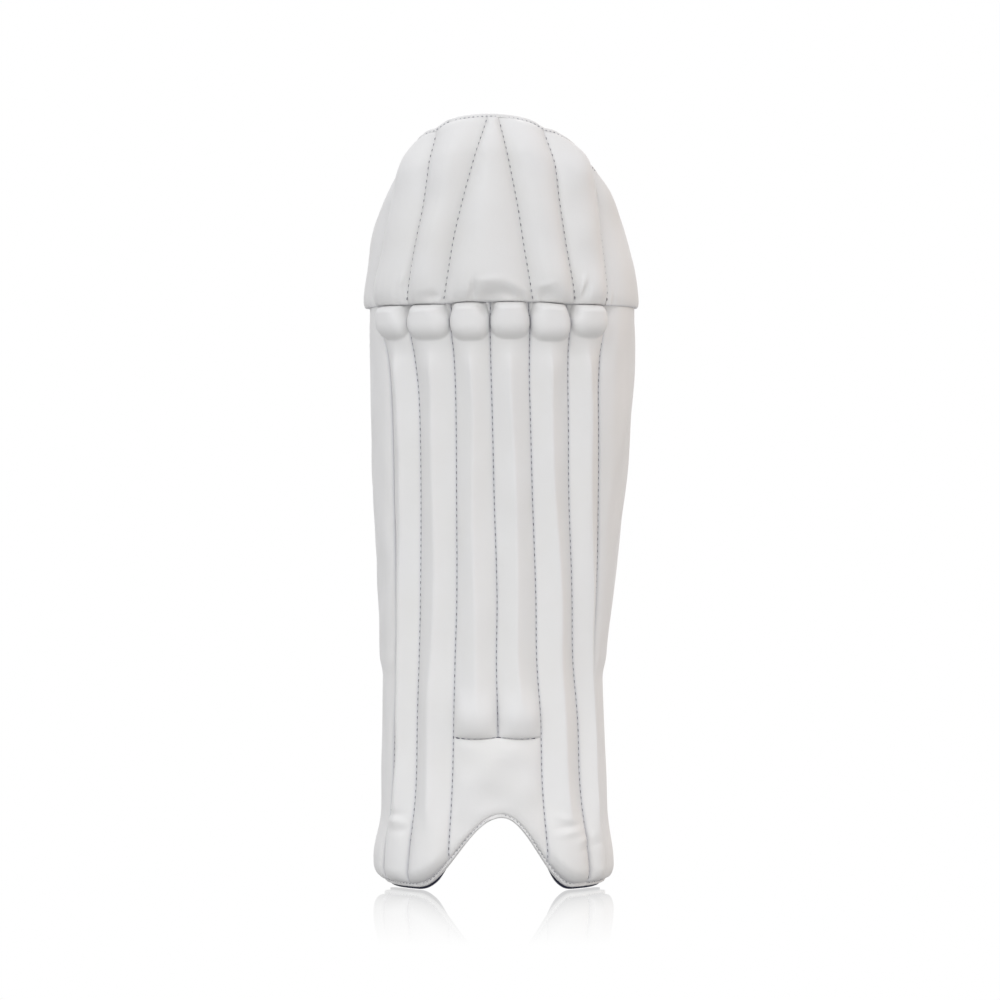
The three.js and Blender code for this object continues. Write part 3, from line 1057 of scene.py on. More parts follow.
@dataclass
class SewnPiece(Patch):
    """A piece of padding that is sewn down along its borders."""

    lift: Callable[[Places], Array]
    columns: int
    rows: int
    strips: int
    fill: float = 0.7
    # Painted shade: how much the leather's colour greys in the seams and along the foot, and how far that
    # reaches.
    crease: float = 0.45
    foot_shade: float = 0.35
    shade_reach: float = 0.9
    stuffing: Stuffing | None = None
    # Share by which rows close up towards the ends, distance from a seam in which folds fade, thinnest padding.
    easing: float = 0.6
    still_reach: float = 3.0
    thinnest: float = 0.6

    def swelling(self, form: PadForm, across: Array, up: Array) -> Array:
        """Moves of the front's points as the stuffing presses on the cover.

        Args:
            form: The pad's form.
            across: Shares of the way from the left line to the right one.
            up: Shares of the way from the foot to the top.

        Returns:
            Moves in millimetres, as a grid over the front.
        """
        least, cell = self.stuffing.least_cells, self.stuffing.cell
        cells = [max(least, round(size / cell)) for size in self.stuffing_size(form)]
        over = self.places(form, *map(even, cells))
        moves = self.stuffing.swell(self.node, form.point(over.angle, over.height, self.lift(over)))
        sides = blend_weights(across, cells[0] + 1)
        rises = blend_weights(up, cells[1] + 1)
        return np.einsum("ri,ijk,cj->rck", rises, moves, sides)

    def stuffing_size(self, form: PadForm) -> tuple[float, float]:
        """Width and height of the piece where it is widest and tallest."""
        over = self.places(form, even(8), even(8))
        return float(over.width.max()), float((over.above + over.below).max())

    def build(self, shop: Workshop, folds: Sequence[Fold] = ()) -> None:
        """Builds and dresses the piece.

        Args:
            shop: The workshop.
            folds: Folds of the leather, by their places seen from the front.
        """
        form = shop.form
        up = lerp(even(self.rows), eased(self.rows), self.easing)
        over = self.places(form, eased(self.columns), up)
        lift = self.lift(over)
        seen = form.point(over.angle, over.height, lift)
        for fold in folds:
            lift = lift + fold.at(seen[..., 0], seen[..., 2]) * ramp(over.from_seam(), self.still_reach)
        front = form.point(over.angle, over.height, np.maximum(lift, form.layer_gap + self.thinnest))
        if self.stuffing:
            front = front + self.swelling(form, over.across[0], up)
        under = self.places(form, even(self.strips, 1, 0), up)
        back = form.point(under.angle, under.height, form.layer_gap)
        # Painted shade in the seams' valleys and along the foot, which greys the leather's colour.
        seams, foot = (near(gap, self.shade_reach) for gap in (over.from_seam(), over.above))
        marks = {"valley_shade": (np.maximum(self.crease * seams, self.foot_shade * foot), np.ones_like(under.angle))}
        piece = closed_loft(f"{self.node}_cover", shop.metres(front), shop.metres(back), marks)
        shop.dress(piece, shop.leather, Slot.LEATHER, self.node)


@dataclass(frozen=True)
class KneePanel:
    """One panel over the knee. An empty seam stands for the pad's own edge."""

    name: str
    left: str
    right: str
    # Fullness at the levels of the knee seam and of the top, and the share that is left on the knee seam.
    low: float
    high: float
    hem_share: float
    # How square the panel is towards its left and its right seam.
    left_shoulder: float
    right_shoulder: float


@dataclass
class KneeSection:
    """Seven padded panels over the knee."""

    round_foot: float = 24.0
    round_top: float = 18.0
    roll: float = 12.0
    top_share: float = 0.15
    # Gathers beside the seams: depth, spacing, reach from the seam, reach up from the hem and where they start.
    gather: float = 0.9
    gather_pitch: float = 7.0
    gather_reach: float = 12.0
    gather_rise: float = 11.0
    gather_start: float = 2.0
    # Distances from the seams and from the top in which the unevenness sets in.
    free_side: float = 6.0
    free_end: float = 8.0
    first_seed: int = 20
    ripple_length: float = 46.0
    ripple_depth: float = 0.5
    panels: tuple[KneePanel, ...] = (
        KneePanel("outer_left", "", "outer_left", 6, 6.5, 0.8, 2, 2),
        KneePanel("middle_left", "outer_left", "middle_left", 9, 8, 0.4, 2, 2.4),
        KneePanel("inner_left", "middle_left", "inner_left", 11.5, 9, 0.3, 2, 1.6),
        KneePanel("centre", "inner_left", "inner_right", 10, 6.5, 0.3, 3, 3),
        KneePanel("inner_right", "inner_right", "middle_right", 11.5, 9, 0.3, 1.6, 2.4),
        KneePanel("middle_right", "middle_right", "outer_right", 9, 10.5, 0.4, 1.7, 2),
        KneePanel("outer_right", "outer_right", "", 5, 8.5, 0.8, 2, 2),
    )
    folds: tuple[Fold, ...] = (
        Fold(-21.6, 477, 17, 4.5, 88, -3.4),
        Fold(-26, 478, 15, 5, 80, 1.0),
        Fold(-7, 472.5, 24, 13, 0, -4.4),
        Fold(8, 473.5, 22, 9, -24, -3.2),
        Fold(-8, 485, 22, 7, 4, 1.1),
        Fold(13, 481, 20, 6, -30, 0.9),
        Fold(-44, 480, 15, 4.5, 72, 1.4),
        Fold(25, 482, 9, 4, 80, 1.4),
        Fold(-55, 472.5, 16, 8, 0, -2.4),
        Fold(-78, 486, 13, 5, 75, 1.4),
        Fold(37, 473, 17, 10, 8, -3.0),
        Fold(36, 481.5, 14, 5, 14, 0.9),
        Fold(64.5, 480, 20, 4.5, 70, 2.2),
        Fold(69, 477, 14, 5, 70, -1.8),
    )

    def lift(self, form: PadForm, panel: KneePanel, seed: int, over: Places) -> Array:
        """Lift of one panel.

        Args:
            form: The pad's form.
            panel: The panel.
            seed: Seed of the panel's unevenness.
            over: Places over the panel.

        Returns:
            Lifts from the face of the lining.
        """
        climb = (over.height - form.knee_seam) / (form.top - form.knee_seam)
        side, gap = 2 * over.across - 1, over.from_seam()
        power = np.where(side < 0, panel.left_shoulder, panel.right_shoulder)
        full = lerp(panel.low, panel.high, climb) * np.maximum(0, 1 - np.abs(side) ** power)
        full = full * rounding(over.above, self.round_foot, panel.hem_share)
        full = full * rounding(over.below, self.round_top, self.top_share)
        broad = Ripple(seed, self.ripple_length, self.ripple_depth).at(over.along, over.height)
        gathers = np.cos(2 * math.pi * gap / self.gather_pitch) * near(gap, self.gather_reach)
        pulled = self.gather * gathers * np.exp(-over.above / self.gather_rise)
        pulled = pulled * ramp(gap, self.gather_start)
        free = ramp(gap, self.free_side) * ramp(over.below, self.free_end)
        seams = [form.knee_seam_at(seam, over.below) for seam in (panel.left, panel.right)]
        base = lerp(*seams, over.across) * rounding(over.above, self.roll, 0.5 + 0.5 * panel.hem_share)
        return base + full + broad * free - pulled

    def build(self, shop: Workshop) -> None:
        """Builds the panels, from left to right.

        Args:
            shop: The workshop.
        """
        form = shop.form
        for seed, panel in enumerate(self.panels, self.first_seed):
            left, right = panel.left, panel.right
            piece = SewnPiece(
                node=f"knee_panel_{panel.name}",
                left=form.knee_seams.line(left) if left else form.edges.line("left"),
                right=form.knee_seams.line(right) if right else form.edges.line("right"),
                foot=form.above_knee_seam,
                top=form.padding_top,
                lift=partial(self.lift, form, panel, seed),
                columns=56,
                rows=120,
                strips=14,
                # Little painted shade in the seams of the knee panels.
                crease=0.05,
                stuffing=Stuffing(),
            )
            piece.build(shop, self.folds)


@dataclass(frozen=True)
class ShinRib:
    """One rib down the shin."""

    name: str
    left: str
    right: str
    # Whether it stops at the instep panel.
    short: bool
    # Height at which the ridge fades out, fullness of the pillow at the foot and length in which it rounds off.
    ridge_foot: float
    pillow: float
    round_foot: float
    # How much higher than usual its knob ends.
    raised: float


@dataclass
class ShinSection:
    """Six ribs, each with a knob under the knee seam, a neck, a ridged shaft and a pillow at its foot."""

    ridge: float = 10.4
    knob: float = 13.2
    neck: float = 5.0
    knob_foot: float = 438.0
    neck_foot: float = 411.0
    round_knob: float = 12.0
    knob_corner: float = 0.2
    round_knob_top: float = 6.5
    round_knob_foot: float = 13.5
    knob_side_power: float = 3.2
    knob_foot_power: float = 2.2
    knob_top_share: float = 0.4
    # How softly the knob runs into the neck.
    knob_blend: float = 2.4
    foot_share: float = 0.12
    # How far the line of the ridge wanders, as a share of the rib's width, and the height in which it turns.
    wander: float = 0.035
    wander_height: float = 37.0
    wander_phase: float = 2.1
    # Distances below the knee seam in which the wandering sets in.
    wander_fade: tuple[float, float] = (40.0, 90.0)
    # Heights past the ridge's foot between which the pillow turns into the ridge.
    ridge_fade: tuple[float, float] = (-18.0, 14.0)
    # How far into the knob the neck reaches.
    neck_overlap: float = 3.0
    free_side: float = 5.0
    free_end: float = 8.0
    first_seed: int = 40
    ripple_length: float = 60.0
    ripple_depth: float = 0.25
    ribs: tuple[ShinRib, ...] = (
        ShinRib("outer_left", "wing_left", "outer_left", False, 58, 8, 12, 1.0),
        ShinRib("middle_left", "outer_left", "inner_left", False, 58, 8, 12, 0.0),
        ShinRib("inner_left", "inner_left", "middle", True, 152, 12.4, 24, -1.0),
        ShinRib("inner_right", "middle", "inner_right", True, 152, 12.4, 24, 0.5),
        ShinRib("middle_right", "inner_right", "outer_right", False, 58, 8, 12, -1.5),
        ShinRib("outer_right", "outer_right", "wing_right", False, 58, 8, 12, 2.0),
    )
    folds: tuple[Fold, ...] = (
        Fold(-13, 463.6, 14, 8, -50, -4.0),
        Fold(-85, 60, 20, 6, 6, -0.9),
        Fold(-82, 54, 22, 6, -8, 0.9),
        Fold(-80, 47, 18, 6, 6, -0.8),
        Fold(51, 58, 18, 6, -12, 0.8),
        Fold(53, 51, 18, 5, 6, -0.9),
        Fold(55, 46, 20, 6, 10, 0.9),
        Fold(70, 41, 16, 6, 24, 0.9),
        Fold(73, 34, 16, 6, 20, -0.9),
    )

    def knobs(self, form: PadForm, rib: ShinRib, over: Places) -> Array:
        """Fullness of one rib's knob, which ends round at the foot and at the sides.

        Args:
            form: The pad's form.
            rib: The rib.
            over: Places over the rib.

        Returns:
            Lifts from the seams.
        """
        side = np.abs(2 * over.across - 1)
        reach = 1 - self.knob_corner * np.clip(1 - over.below / self.round_knob, 0, 1)
        deep = form.knob_seam_lift - np.minimum(form.knob_seam_lift, form.shin_depth(over.height))
        end = np.clip(1 - (over.height - self.knob_foot - rib.raised) / self.round_knob_foot, 0, 1)
        room = 1 - (side / reach) ** self.knob_side_power - end**self.knob_foot_power
        knob = (self.knob + deep) * np.sqrt(np.maximum(0, room))
        return knob * rounding(over.below, self.round_knob_top, self.knob_top_share)

    def lift(self, form: PadForm, rib: ShinRib, seed: int, over: Places) -> Array:
        """Lift of one rib.

        Args:
            form: The pad's form.
            rib: The rib.
            seed: Seed of the rib's unevenness.
            over: Places over the rib.

        Returns:
            Lifts from the face of the lining.
        """
        turn = np.sin(over.height / self.wander_height + self.wander_phase * seed)
        wander = self.wander * turn * smooth(over.below, *self.wander_fade)
        ridge = Profile.ROOF.at(np.clip(over.across + wander * (1 - (2 * over.across - 1) ** 2), 0, 1))
        bulb = Profile.BULB.at(over.across)
        shaft_share = smooth(over.height, *(rib.ridge_foot + step for step in self.ridge_fade))
        neck_share = smooth(over.height, self.neck_foot, self.knob_foot + self.neck_overlap)
        shaft = lerp(rib.pillow * Profile.PILLOW.at(over.across), self.ridge * ridge, shaft_share)
        necked = lerp(shaft, self.neck * bulb, neck_share)
        necked = necked * rounding(over.above, rib.round_foot, self.foot_share)
        knob = self.knobs(form, rib, over)
        full = (necked + knob + np.hypot(necked - knob, self.knob_blend * bulb)) / 2
        free = ramp(over.from_seam(), self.free_side) * ramp(over.above, self.free_end)
        uneven = Ripple(seed, self.ripple_length, self.ripple_depth).at(over.along, over.height)
        return form.shin_seam(over.angle, over.height) + full + uneven * free

    def build(self, shop: Workshop) -> None:
        """Builds the ribs, from left to right.

        Args:
            shop: The workshop.
        """
        form = shop.form
        for seed, rib in enumerate(self.ribs, self.first_seed):
            piece = SewnPiece(
                node=f"shin_rib_{rib.name}",
                left=form.shin_seams.line(rib.left),
                right=form.shin_seams.line(rib.right),
                foot=form.inner_rib_foot if rib.short else form.padding_foot,
                top=form.below_knee_seam,
                lift=partial(self.lift, form, rib, seed),
                columns=48,
                rows=320,
                strips=12,
                fill=0.85,
            )
            piece.build(shop, self.folds)


@dataclass
class SideWings:
    """Two flat wings beside the ribs, which narrow to a strip below the calf and swell beside the lobes."""

    wing: float = 9.5
    strip: float = 8.0
    strip_height: float = 176.0
    lobe_top: float = 62.0
    lobe_bulge: float = 22.0
    round_foot: float = 12.0
    foot_share: float = 0.35
    # Half of the height in which the strip widens into the wing.
    strip_fade: float = 8.0
    first_seed: int = 60
    ripple_length: float = 42.0
    ripple_depth: float = 0.35
    free_side: float = 6.0
    # Factors on the distance round the pad and on the height, which set how close the ripples lie.
    ripple_stretch: tuple[float, float] = (1.6, 0.7)
    # Name, lift beside the lobe.
    sides: tuple[tuple[str, float], ...] = (("left", 15.0), ("right", 12.0))
    folds: tuple[Fold, ...] = (Fold(86, 463, 12, 5, 25, -2.0),)

    def lift(self, form: PadForm, lobe: float, seed: int, over: Places) -> Array:
        """Lift of one wing.

        Args:
            form: The pad's form.
            lobe: Lift beside the lobe.
            seed: Seed of the wing's unevenness.
            over: Places over the wing.

        Returns:
            Lifts from the face of the lining.
        """
        fade = (self.strip_height - self.strip_fade, self.strip_height + self.strip_fade)
        upper = lerp(self.strip, self.wing, smooth(over.height, *fade))
        strip_share = smooth(over.height, self.lobe_bulge, self.lobe_top)
        full = lerp(lobe, upper, strip_share) - form.shin_depth(over.height)
        full = full * Profile.SLAB.at(over.across) * rounding(over.above, self.round_foot, self.foot_share)
        round_share, up_share = self.ripple_stretch
        ripple = Ripple(seed, self.ripple_length, self.ripple_depth)
        uneven = ripple.at(over.along * round_share, over.height * up_share)
        return form.shin_seam(over.angle, over.height) + full + uneven * ramp(over.from_seam(), self.free_side)

    def build(self, shop: Workshop) -> None:
        """Builds the wings, the left one first.

        Args:
            shop: The workshop.
        """
        form = shop.form
        for seed, (name, lobe) in enumerate(self.sides, self.first_seed):
            lines = [form.edges.line(name), form.shin_seams.line(f"wing_{name}")]
            left, right = lines if name == "left" else lines[::-1]
            piece = SewnPiece(
                node=f"wing_{name}",
                left=left,
                right=right,
                foot=form.padding_foot,
                top=form.below_knee_seam,
                lift=partial(self.lift, form, lobe, seed),
                columns=36,
                rows=280,
                strips=12,
                fill=0.6,
            )
            piece.build(shop, self.folds)


@dataclass
class InstepPanel:
    """Padded panel between the lobes, over the arch for the boot."""

    full: float = 6.5
    round_foot: float = 46.0
    round_top: float = 18.0
    top_share: float = 0.3
    # How far under its foot the panel starts to fill out.
    foot_start: float = -8.0
    free_side: float = 6.0
    free_end: float = 8.0
    ripple: Ripple = Ripple(70, 34, 0.35)

    def lift(self, form: PadForm, over: Places) -> Array:
        """Lift of the panel.

        Args:
            form: The pad's form.
            over: Places over the panel.

        Returns:
            Lifts from the face of the lining.
        """
        ends = smooth(over.above, self.foot_start, self.round_foot)
        ends = ends * rounding(over.below, self.round_top, self.top_share)
        free = ramp(over.from_seam(), self.free_side)
        free = free * ramp(over.above, self.free_end) * ramp(over.below, self.free_end)
        uneven = self.ripple.at(over.along, over.height)
        seam = form.shin_seam(over.angle, over.height)
        return seam + self.full * Profile.PILLOW.at(over.across) * ends + uneven * free

    def build(self, shop: Workshop) -> None:
        """Builds the panel.

        Args:
            shop: The workshop.
        """
        form = shop.form
        piece = SewnPiece(
            node="instep_panel",
            left=form.shin_seams.line("inner_left"),
            right=form.shin_seams.line("inner_right"),
            foot=form.padding_foot,
            top=form.instep_top,
            lift=partial(self.lift, form),
            columns=80,
            rows=90,
            strips=40,
            # No painted shade along the instep panel's foot.
            foot_shade=0.0,
        )
        piece.build(shop)


@dataclass
class EdgeWelts:
    """White leather bindings folded over the top edge and the bottom edge."""

    roll: float = 1.4
    roll_share: float = 0.5
    columns: int = 480
    rows: int = 14
    # Short puckers between the stitches, and slower waves along the whole edge: first seed, length and depth.
    puckers: tuple[int, float, float] = (80, 7.0, 0.14)
    waves: tuple[int, float, float] = (90, 23.0, 0.25)

    def build(self, shop: Workshop) -> None:
        """Builds the top binding and the bottom one.

        Args:
            shop: The workshop.
        """
        form = shop.form
        sides = form.edges.line("left"), form.edges.line("right")
        ends = {
            "knee_welt": (form.knee_welt_foot, form.top_edge),
            "foot_welt": (form.welt_foot, form.welt_top),
        }
        for number, (node, (foot, top)) in enumerate(ends.items()):
            strip = Patch(node, *sides, foot, top)
            up = eased(self.rows)
            over = strip.places(form, even(self.columns), up)
            under = strip.places(form, even(self.columns // 2, 1, 0), up)
            free_edge = over.above if node == "foot_welt" else over.below
            (first, *pucker), (second, *wave) = self.puckers, self.waves
            puckers = Ripple(first + number, *pucker).at(over.along, over.height)
            waves = Ripple(second + number, *wave).at(over.along, np.zeros_like(over.height))
            lift = (form.welt_lift + puckers + waves) * rounding(free_edge, self.roll, self.roll_share)
            front = form.point(over.angle, over.height, lift)
            back = form.point(under.angle, under.height, form.layer_gap)
            # The bindings get no painted shade.
            marks = {"valley_shade": (np.zeros_like(over.angle), np.zeros_like(under.angle))}
            piece = closed_loft(f"{node}_binding", shop.metres(front), shop.metres(back), marks)
            shop.dress(piece, shop.leather, Slot.LEATHER, node)


@dataclass
class Lining:
    """Navy cloth over a thin felt, which every seam is sewn through."""

    columns: int = 200
    rows: int = 260
    swell: float = 0.3
    pull: float = 1.0
    pull_reach: float = 3.5
    # How far the edge is pressed flat, and how far that reaches.
    edge_press: float = 0.9
    edge_reach: float = 1.2
    edge_slit: float = 0.25
    # A distance past the reach of every seam.
    far: float = 99.0

    def seam_distance(self, form: PadForm, over: Places) -> Array:
        """Distance round the pad to the nearest line of stitches.

        Args:
            form: The pad's form.
            over: Places over the lining.

        Returns:
            Distances in millimetres.
        """
        knee = over.height > form.knee_seam
        gaps = [np.abs(over.height - form.knee_seam)]
        for table, here in ((form.shin_seams, ~knee), (form.knee_seams, knee)):
            for column in table.columns:
                gap = np.abs(over.angle - table.at(column, over.height)) * form.girth(over.height)
                gaps.append(np.where(here, gap, self.far))
        return np.minimum.reduce(gaps)

    def build(self, shop: Workshop) -> None:
        """Builds the lining.

        Args:
            shop: The workshop.
        """
        form = shop.form
        lines = [form.edges.line("left"), form.edges.line("right"), form.lining_foot, form.lining_top]
        cloth = Patch("lining", *lines, slit=self.edge_slit)
        up = even(self.rows)
        over = cloth.places(form, even(self.columns), up)
        under = cloth.places(form, even(self.columns, 1, 0), up)
        edge = np.minimum(np.minimum(under.above, under.below), under.from_seam())
        sewn = near(self.seam_distance(form, under), self.pull_reach)
        pressed = self.edge_press * near(edge, self.edge_reach)
        depth = form.lining + self.swell - self.pull * sewn - pressed
        front = form.point(over.angle, over.height, 0.0)
        back = form.point(under.angle, under.height, -depth)
        marks = {"weave_across": (over.along, under.along), "weave_along": (over.height, under.height)}
        piece = closed_loft("lining_cloth", shop.metres(front), shop.metres(back), marks)
        shop.dress(piece, shop.lining, Slot.LINING, "lining")


@dataclass
class LegStraps:
    """Two white webbing straps, sewn inside the edges and carried round the back of the leg."""

    columns: int = 240
    rows: int = 20
    selvedge_power: float = 8.0
    selvedge_share: float = 0.35

    def build(self, shop: Workshop) -> None:
        """Builds the straps, the lower one first.

        Args:
            shop: The workshop.
        """
        form = shop.form
        for name, middle in form.straps:
            angle = form.strap_angles(middle, self.columns)[None, :]
            across = even(self.rows, -0.5, 0.5)[:, None]
            level = middle + form.strap_width * across
            selvedge = np.maximum(0, 1 - np.abs(2 * across) ** self.selvedge_power) ** 0.5
            half = form.strap_thickness / 2 * lerp(self.selvedge_share, 1, selvedge)
            centre = -form.lining - form.layer_gap - form.strap_thickness / 2
            front = form.point(angle, level, centre + half, form.strap_back)
            back = form.point(angle[:, ::-1], level, centre - half, form.strap_back)
            run, wide = np.broadcast_arrays(path_run(front[self.rows // 2])[None, :], level)
            marks = {"weave_across": (wide, wide), "weave_along": (run, run[:, ::-1])}
            piece = closed_loft(f"{name}_webbing", shop.metres(front), shop.metres(back), marks)
            shop.dress(piece, shop.webbing, Slot.WEBBING, name)


@dataclass(frozen=True)
class StitchSize:
    """Spacing and length of the stitches in a row, and the thread's radius."""

    pitch: float
    dash: float
    radius: float


@dataclass
class StitchRow:
    """A row of stitches along a line on the pad."""

    angle: Array
    height: Array
    lift: Array | float
    size: StitchSize


@dataclass
class Stitching:
    """Rows of stitches, each stitch a short thread that dips into the leather at both ends."""

    sides: int = 8
    shin_size: StitchSize = StitchSize(4.9, 2.4, 0.4)
    knee_size: StitchSize = StitchSize(5.3, 2.4, 0.4)
    instep_size: StitchSize = StitchSize(4.7, 3.4, 0.55)
    welt_size: StitchSize = StitchSize(3.6, 1.8, 0.32)
    # Lift of the thread from the bottom of a seam, and from the lining at the instep and on the welts.
    seam_lift: float = 0.25
    instep_lift: float = 6.2
    welt_lift: float = 4.75
    # Heights between which the stitches of a seam lie free. Elsewhere the padding closes over them.
    shown: Mapping[str, tuple[float, float]] = field(
        default_factory=lambda: {"wing_left": (40, 130), "outer_left": (37, 467), "wing_right": (150, 440)}
    )
    welt_inset: float = 2.6
    welt_span: tuple[float, float] = (-78.0, 77.0)
    # Height at which a shin seam's angle is read for its foot, and how far from its ends a seam is sewn.
    foot_level: float = 15.0
    foot_inset: float = 2.0
    end_inset: float = 1.0
    # Points along a seam, along the instep and along a welt.
    seam_points: int = 300
    instep_points: int = 200
    welt_points: int = 900
    # Places along half a stitch, the thread's girth there, and how deep its ends dip, in radii.
    stations: tuple[float, ...] = (-1.0, -0.78, -0.3, 0.3, 0.78, 1.0)
    girths: tuple[float, ...] = (0.35, 0.82, 1.0, 1.0, 0.82, 0.35)
    dip: float = 0.9

    def sew(self, shop: Workshop, name: str, rows: Sequence[StitchRow], finish: Any) -> None:
        """Builds the stitches of several rows as one piece.

        Args:
            shop: The workshop.
            name: Name of the piece.
            rows: The rows of stitches.
            finish: The thread's material.
        """
        form, shells = shop.form, []
        for row in rows:
            path, size = form.point(row.angle, row.height, row.lift), row.size
            run = path_run(path)
            middles = np.arange(size.pitch / 2, run[-1] - size.pitch / 3, size.pitch)
            centre, ahead, behind = (
                np.stack([np.interp(middles + step, run, path[:, part]) for part in range(3)], axis=-1)
                for step in (0, 1, -1)
            )
            along = (ahead - behind) / np.linalg.norm(ahead - behind, axis=-1, keepdims=True)
            out = form.normal(np.interp(middles, run, row.angle), np.interp(middles, run, row.height))
            out = out - along * np.sum(out * along, axis=-1, keepdims=True)
            out = out / np.linalg.norm(out, axis=-1, keepdims=True)
            side = np.cross(along, out)
            for place in zip(centre, along, out, side):
                shells.append(self.stitch(*place, size.dash / 2, size.radius))
        self.join(shop, name, shells, finish)

    def stitch(
        self, centre: Array, along: Array, out: Array, side: Array, half: float, radius: float
    ) -> Array:
        """Points of one stitch.

        Args:
            centre: Its middle.
            along: Direction of the seam.
            out: Direction out of the pad.
            side: Direction across the seam.
            half: Half of its length.
            radius: Radius of the thread.

        Returns:
            Rings of points, as stations by sides.
        """
        turn = 2 * math.pi * np.arange(self.sides) / self.sides
        ring = np.cos(turn)[:, None] * out + np.sin(turn)[:, None] * side
        place, girth = np.array(self.stations), np.array(self.girths)
        sink = -self.dip * radius * np.abs(place) ** 3
        line = centre + place[:, None] * half * along + sink[:, None] * out
        return line[:, None, :] + girth[:, None, None] * radius * ring[None, :, :]

    def join(self, shop: Workshop, name: str, shells: Sequence[Array], finish: Any) -> None:
        """Joins stitches into one piece.

        Args:
            shop: The workshop.
            name: Name of the piece.
            shells: Points of each stitch.
            finish: The thread's material.
        """
        stations, sides = len(self.stations), self.sides
        index = np.arange(stations * sides).reshape(stations, sides)
        ahead = np.roll(index, -1, axis=1)
        quads = np.stack([index[:-1], index[1:], ahead[1:], ahead[:-1]], axis=-1).reshape(-1, 4)
        faces = [*quads.tolist(), index[0].tolist(), index[-1][::-1].tolist()]
        starts = range(0, stations * sides * len(shells), stations * sides)
        every = [[corner + start for corner in face] for start in starts for face in faces]
        mesh = bpy.data.meshes.new(name)
        mesh.from_pydata(shop.metres(np.array(shells).reshape(-1, 3)).tolist(), [], every)
        mesh.shade_smooth()
        shop.dress(place_object(name, mesh), finish, None)

    def seam_rows(self, form: PadForm) -> dict[str, list[StitchRow]]:
        """Rows along the seams between the padded pieces.

        Args:
            form: The pad's form.

        Returns:
            Rows by the name of the piece that they make.
        """
        rows: dict[str, list[StitchRow]] = {"shin_seam_stitches": [], "knee_seam_stitches": []}
        for column in form.shin_seams.columns:
            foot = form.padding_foot(form.shin_seams.at(column, np.array([self.foot_level])))[0]
            foot = form.instep_seam if column == "middle" else foot
            low, high = self.shown.get(column, (foot + self.foot_inset, form.knee_seam - self.end_inset))
            height = np.linspace(low, high, self.seam_points)
            angle = form.shin_seams.at(column, height)
            lift = form.shin_seam(angle, height) + self.seam_lift
            rows["shin_seam_stitches"].append(StitchRow(angle, height, lift, self.shin_size))
        for column in form.knee_seams.columns:
            height = np.linspace(form.knee_seam + self.end_inset, form.top, self.seam_points)
            angle = form.knee_seams.at(column, height)
            below = form.padding_top(angle) - height
            lift = form.knee_seam_at(column, below) + self.seam_lift
            keep = below > self.end_inset
            row = StitchRow(angle[keep], height[keep], lift[keep], self.knee_size)
            rows["knee_seam_stitches"].append(row)
        return rows

    def build(self, shop: Workshop) -> None:
        """Builds every group of stitches.

        Args:
            shop: The workshop.
        """
        form = shop.form
        for name, rows in self.seam_rows(form).items():
            self.sew(shop, name, rows, shop.seam_thread)
        level = np.array(form.instep_seam)
        sides = [float(form.shin_seams.at(side, level)) for side in ("inner_left", "inner_right")]
        angle = np.linspace(sides[0] + 1, sides[1] - 1, self.instep_points)
        instep = StitchRow(angle, form.instep_line(angle), self.instep_lift, self.instep_size)
        self.sew(shop, "instep_seam_stitches", [instep], shop.dark_thread)
        self.sew(shop, "welt_stitches", self.welt_rows(form), shop.pale_thread)

    def welt_rows(self, form: PadForm) -> list[StitchRow]:
        """Rows along the bindings of the top edge and the bottom edge.

        Args:
            form: The pad's form.

        Returns:
            The two rows.
        """
        rows = []
        for line, step in ((form.top_edge, -self.welt_inset), (form.welt_foot, self.welt_inset)):
            angle = np.linspace(*self.welt_span, self.welt_points)
            rows.append(StitchRow(angle, line(angle) + step, self.welt_lift, self.welt_size))
        return rows


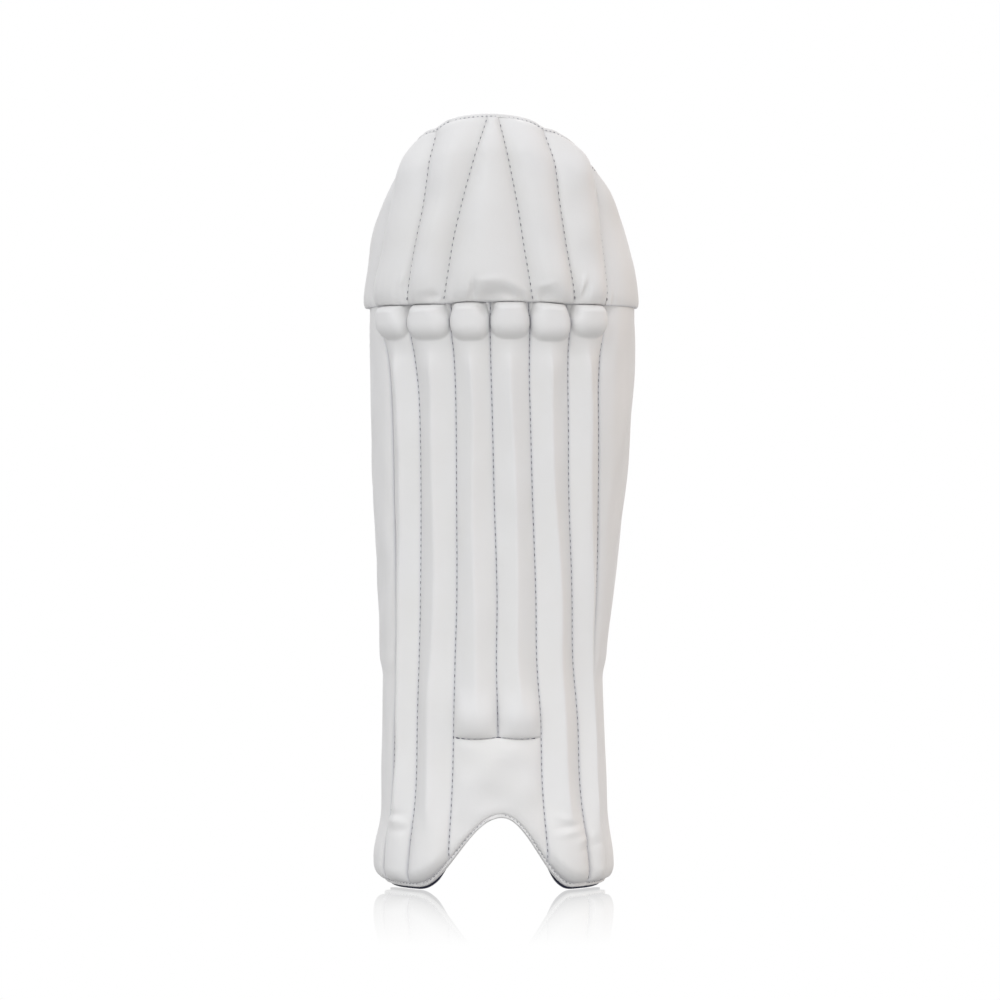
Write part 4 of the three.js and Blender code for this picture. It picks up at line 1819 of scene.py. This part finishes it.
@dataclass
class Studio:
    """Plain white studio: a polished floor, a white backdrop all round, soft lights and the camera."""

    picture: int = 1000
    millimetres_per_pixel: float = 0.8
    middle_height: float = 310.8
    plane: float = -30.0
    distance: float = 3.0
    sensor: float = 36.0
    backdrop: float = 7.0
    floor_share: float = 0.98
    # Metres by which the floor lies under the soles.
    floor_gap: float = 0.0004
    # Lights closer than this don't show in the floor.
    mirrored_from: float = 2.0
    air: str = "FBFBFF"
    # Name, direction round and height of the light in degrees, distance, size, watts and colour.
    lights: tuple[tuple[str, float, float, float, float, float, str], ...] = (
        ("key_light", -31, 33, 4.0, 1.6, 19.5, "F7FAFF"),
        ("fill_light", 70, 12, 2.8, 1.8, 2.0, "FFA828"),
        ("right_rim_light", 112, 12, 2.8, 1.6, 4.4, "FFC050"),
        ("back_light", 180, 40, 2.8, 1.6, 10.0, "FFFFFF"),
        ("low_light", 4, -16, 1.0, 0.6, 2.0, "FFFFFF"),
    )

    def build(self, shop: Workshop) -> None:
        """Builds the floor, the backdrop, the lights and the camera.

        Args:
            shop: The workshop.
        """
        scene = bpy.context.scene
        scene.view_settings.view_transform = "Standard"
        self.add_stage()
        self.add_lights()
        lens = bpy.data.cameras.new("camera")
        lens.sensor_width = self.sensor
        lens.lens = self.sensor * self.distance / (self.picture * self.millimetres_per_pixel * METRES)
        camera = place_object("camera", lens)
        aim = shop.metres(np.array([0.0, self.plane, self.middle_height]))
        camera.location = Vector(aim) - Vector((0, self.distance, 0))
        camera.rotation_euler = (math.pi / 2, 0, 0)
        scene.camera = camera

    def add_stage(self) -> None:
        """Adds the floor and the backdrop, which the pad's own light doesn't come from."""
        radius = self.backdrop * self.floor_share
        bpy.ops.mesh.primitive_circle_add(vertices=96, radius=radius, fill_type="NGON")
        floor = bpy.context.object
        floor.name = "studio_floor"
        floor.location.z = -self.floor_gap
        floor.data.materials.append(PolishedAcrylic().material())
        bpy.ops.mesh.primitive_uv_sphere_add(segments=64, ring_count=32, radius=self.backdrop)
        backdrop = bpy.context.object
        backdrop.name = "studio_backdrop"
        backdrop.data.materials.append(PaperBackdrop().material())
        for thing in (floor, backdrop):
            thing.visible_diffuse = False
            thing.visible_shadow = False

    def add_lights(self) -> None:
        """Adds the soft lights, and a dim even light from all round."""
        middle = Vector((0, 0, self.middle_height * METRES))
        for name, turn, rise, distance, size, watts, colour in self.lights:
            lamp = bpy.data.lights.new(name, "AREA")
            lamp.shape, lamp.size, lamp.energy = "DISK", size, watts
            lamp.color = linear(colour)[:3]
            light = place_object(name, lamp)
            a, e = math.radians(turn), math.radians(rise)
            towards = Vector((math.sin(a) * math.cos(e), -math.cos(a) * math.cos(e), math.sin(e)))
            light.location = middle + towards * distance
            light.rotation_euler = towards.to_track_quat("Z", "Y").to_euler()
            light.visible_camera = False
            light.visible_glossy = distance > self.mirrored_from
        world = bpy.data.worlds.new("studio_air")
        world.use_nodes = True
        tree = world.node_tree
        tree.nodes.clear()
        place = add_node(tree, "ShaderNodeTexCoord", output="Generated")
        rise = add_node(tree, "ShaderNodeSeparateXYZ", {}, {"Vector": place}, "Z")
        levels = {"From Min": -0.5, "From Max": 0.6, "To Min": 0.25, "To Max": 1.03}
        strength = add_node(tree, "ShaderNodeMapRange", levels, {"Value": rise})
        air = add_node(tree, "ShaderNodeBackground", {"Color": linear(self.air)}, {"Strength": strength})
        add_node(tree, "ShaderNodeOutputWorld", {}, {"Surface": air})
        bpy.context.scene.world = world


def main() -> None:
    """Builds the pad's sub-assemblies in order, then the studio."""
    logging.basicConfig(level=logging.INFO, format="%(name)s: %(message)s")
    form = PadForm()
    shop = Workshop(
        form=form,
        offset=Workshop.find_offset(form),
        leather=CoatedLeather().material(),
        lining=WovenCloth("polyester_lining_woven", "2A2F57", "0E1022", 1.5, 0.85, 0.15).material(),
        webbing=WovenCloth("polyester_webbing_woven", "E9E9E6", "B9B9B6", 2.0, 0.7, 0.1).material(),
        seam_thread=TwistedThread("polyester_thread_grey", "96979C", "6E6F76").material(),
        dark_thread=TwistedThread("polyester_thread_navy", "4A4C66", "23243A").material(),
        pale_thread=TwistedThread("polyester_thread_silver", "B4B5BA", "96979E").material(),
    )
    padding = (KneeSection(), ShinSection(), SideWings(), InstepPanel())
    for assembly in (Lining(), *padding, EdgeWelts(), LegStraps(), Stitching(), Studio()):
        assembly.build(shop)


if __name__ == "__main__":
    main()
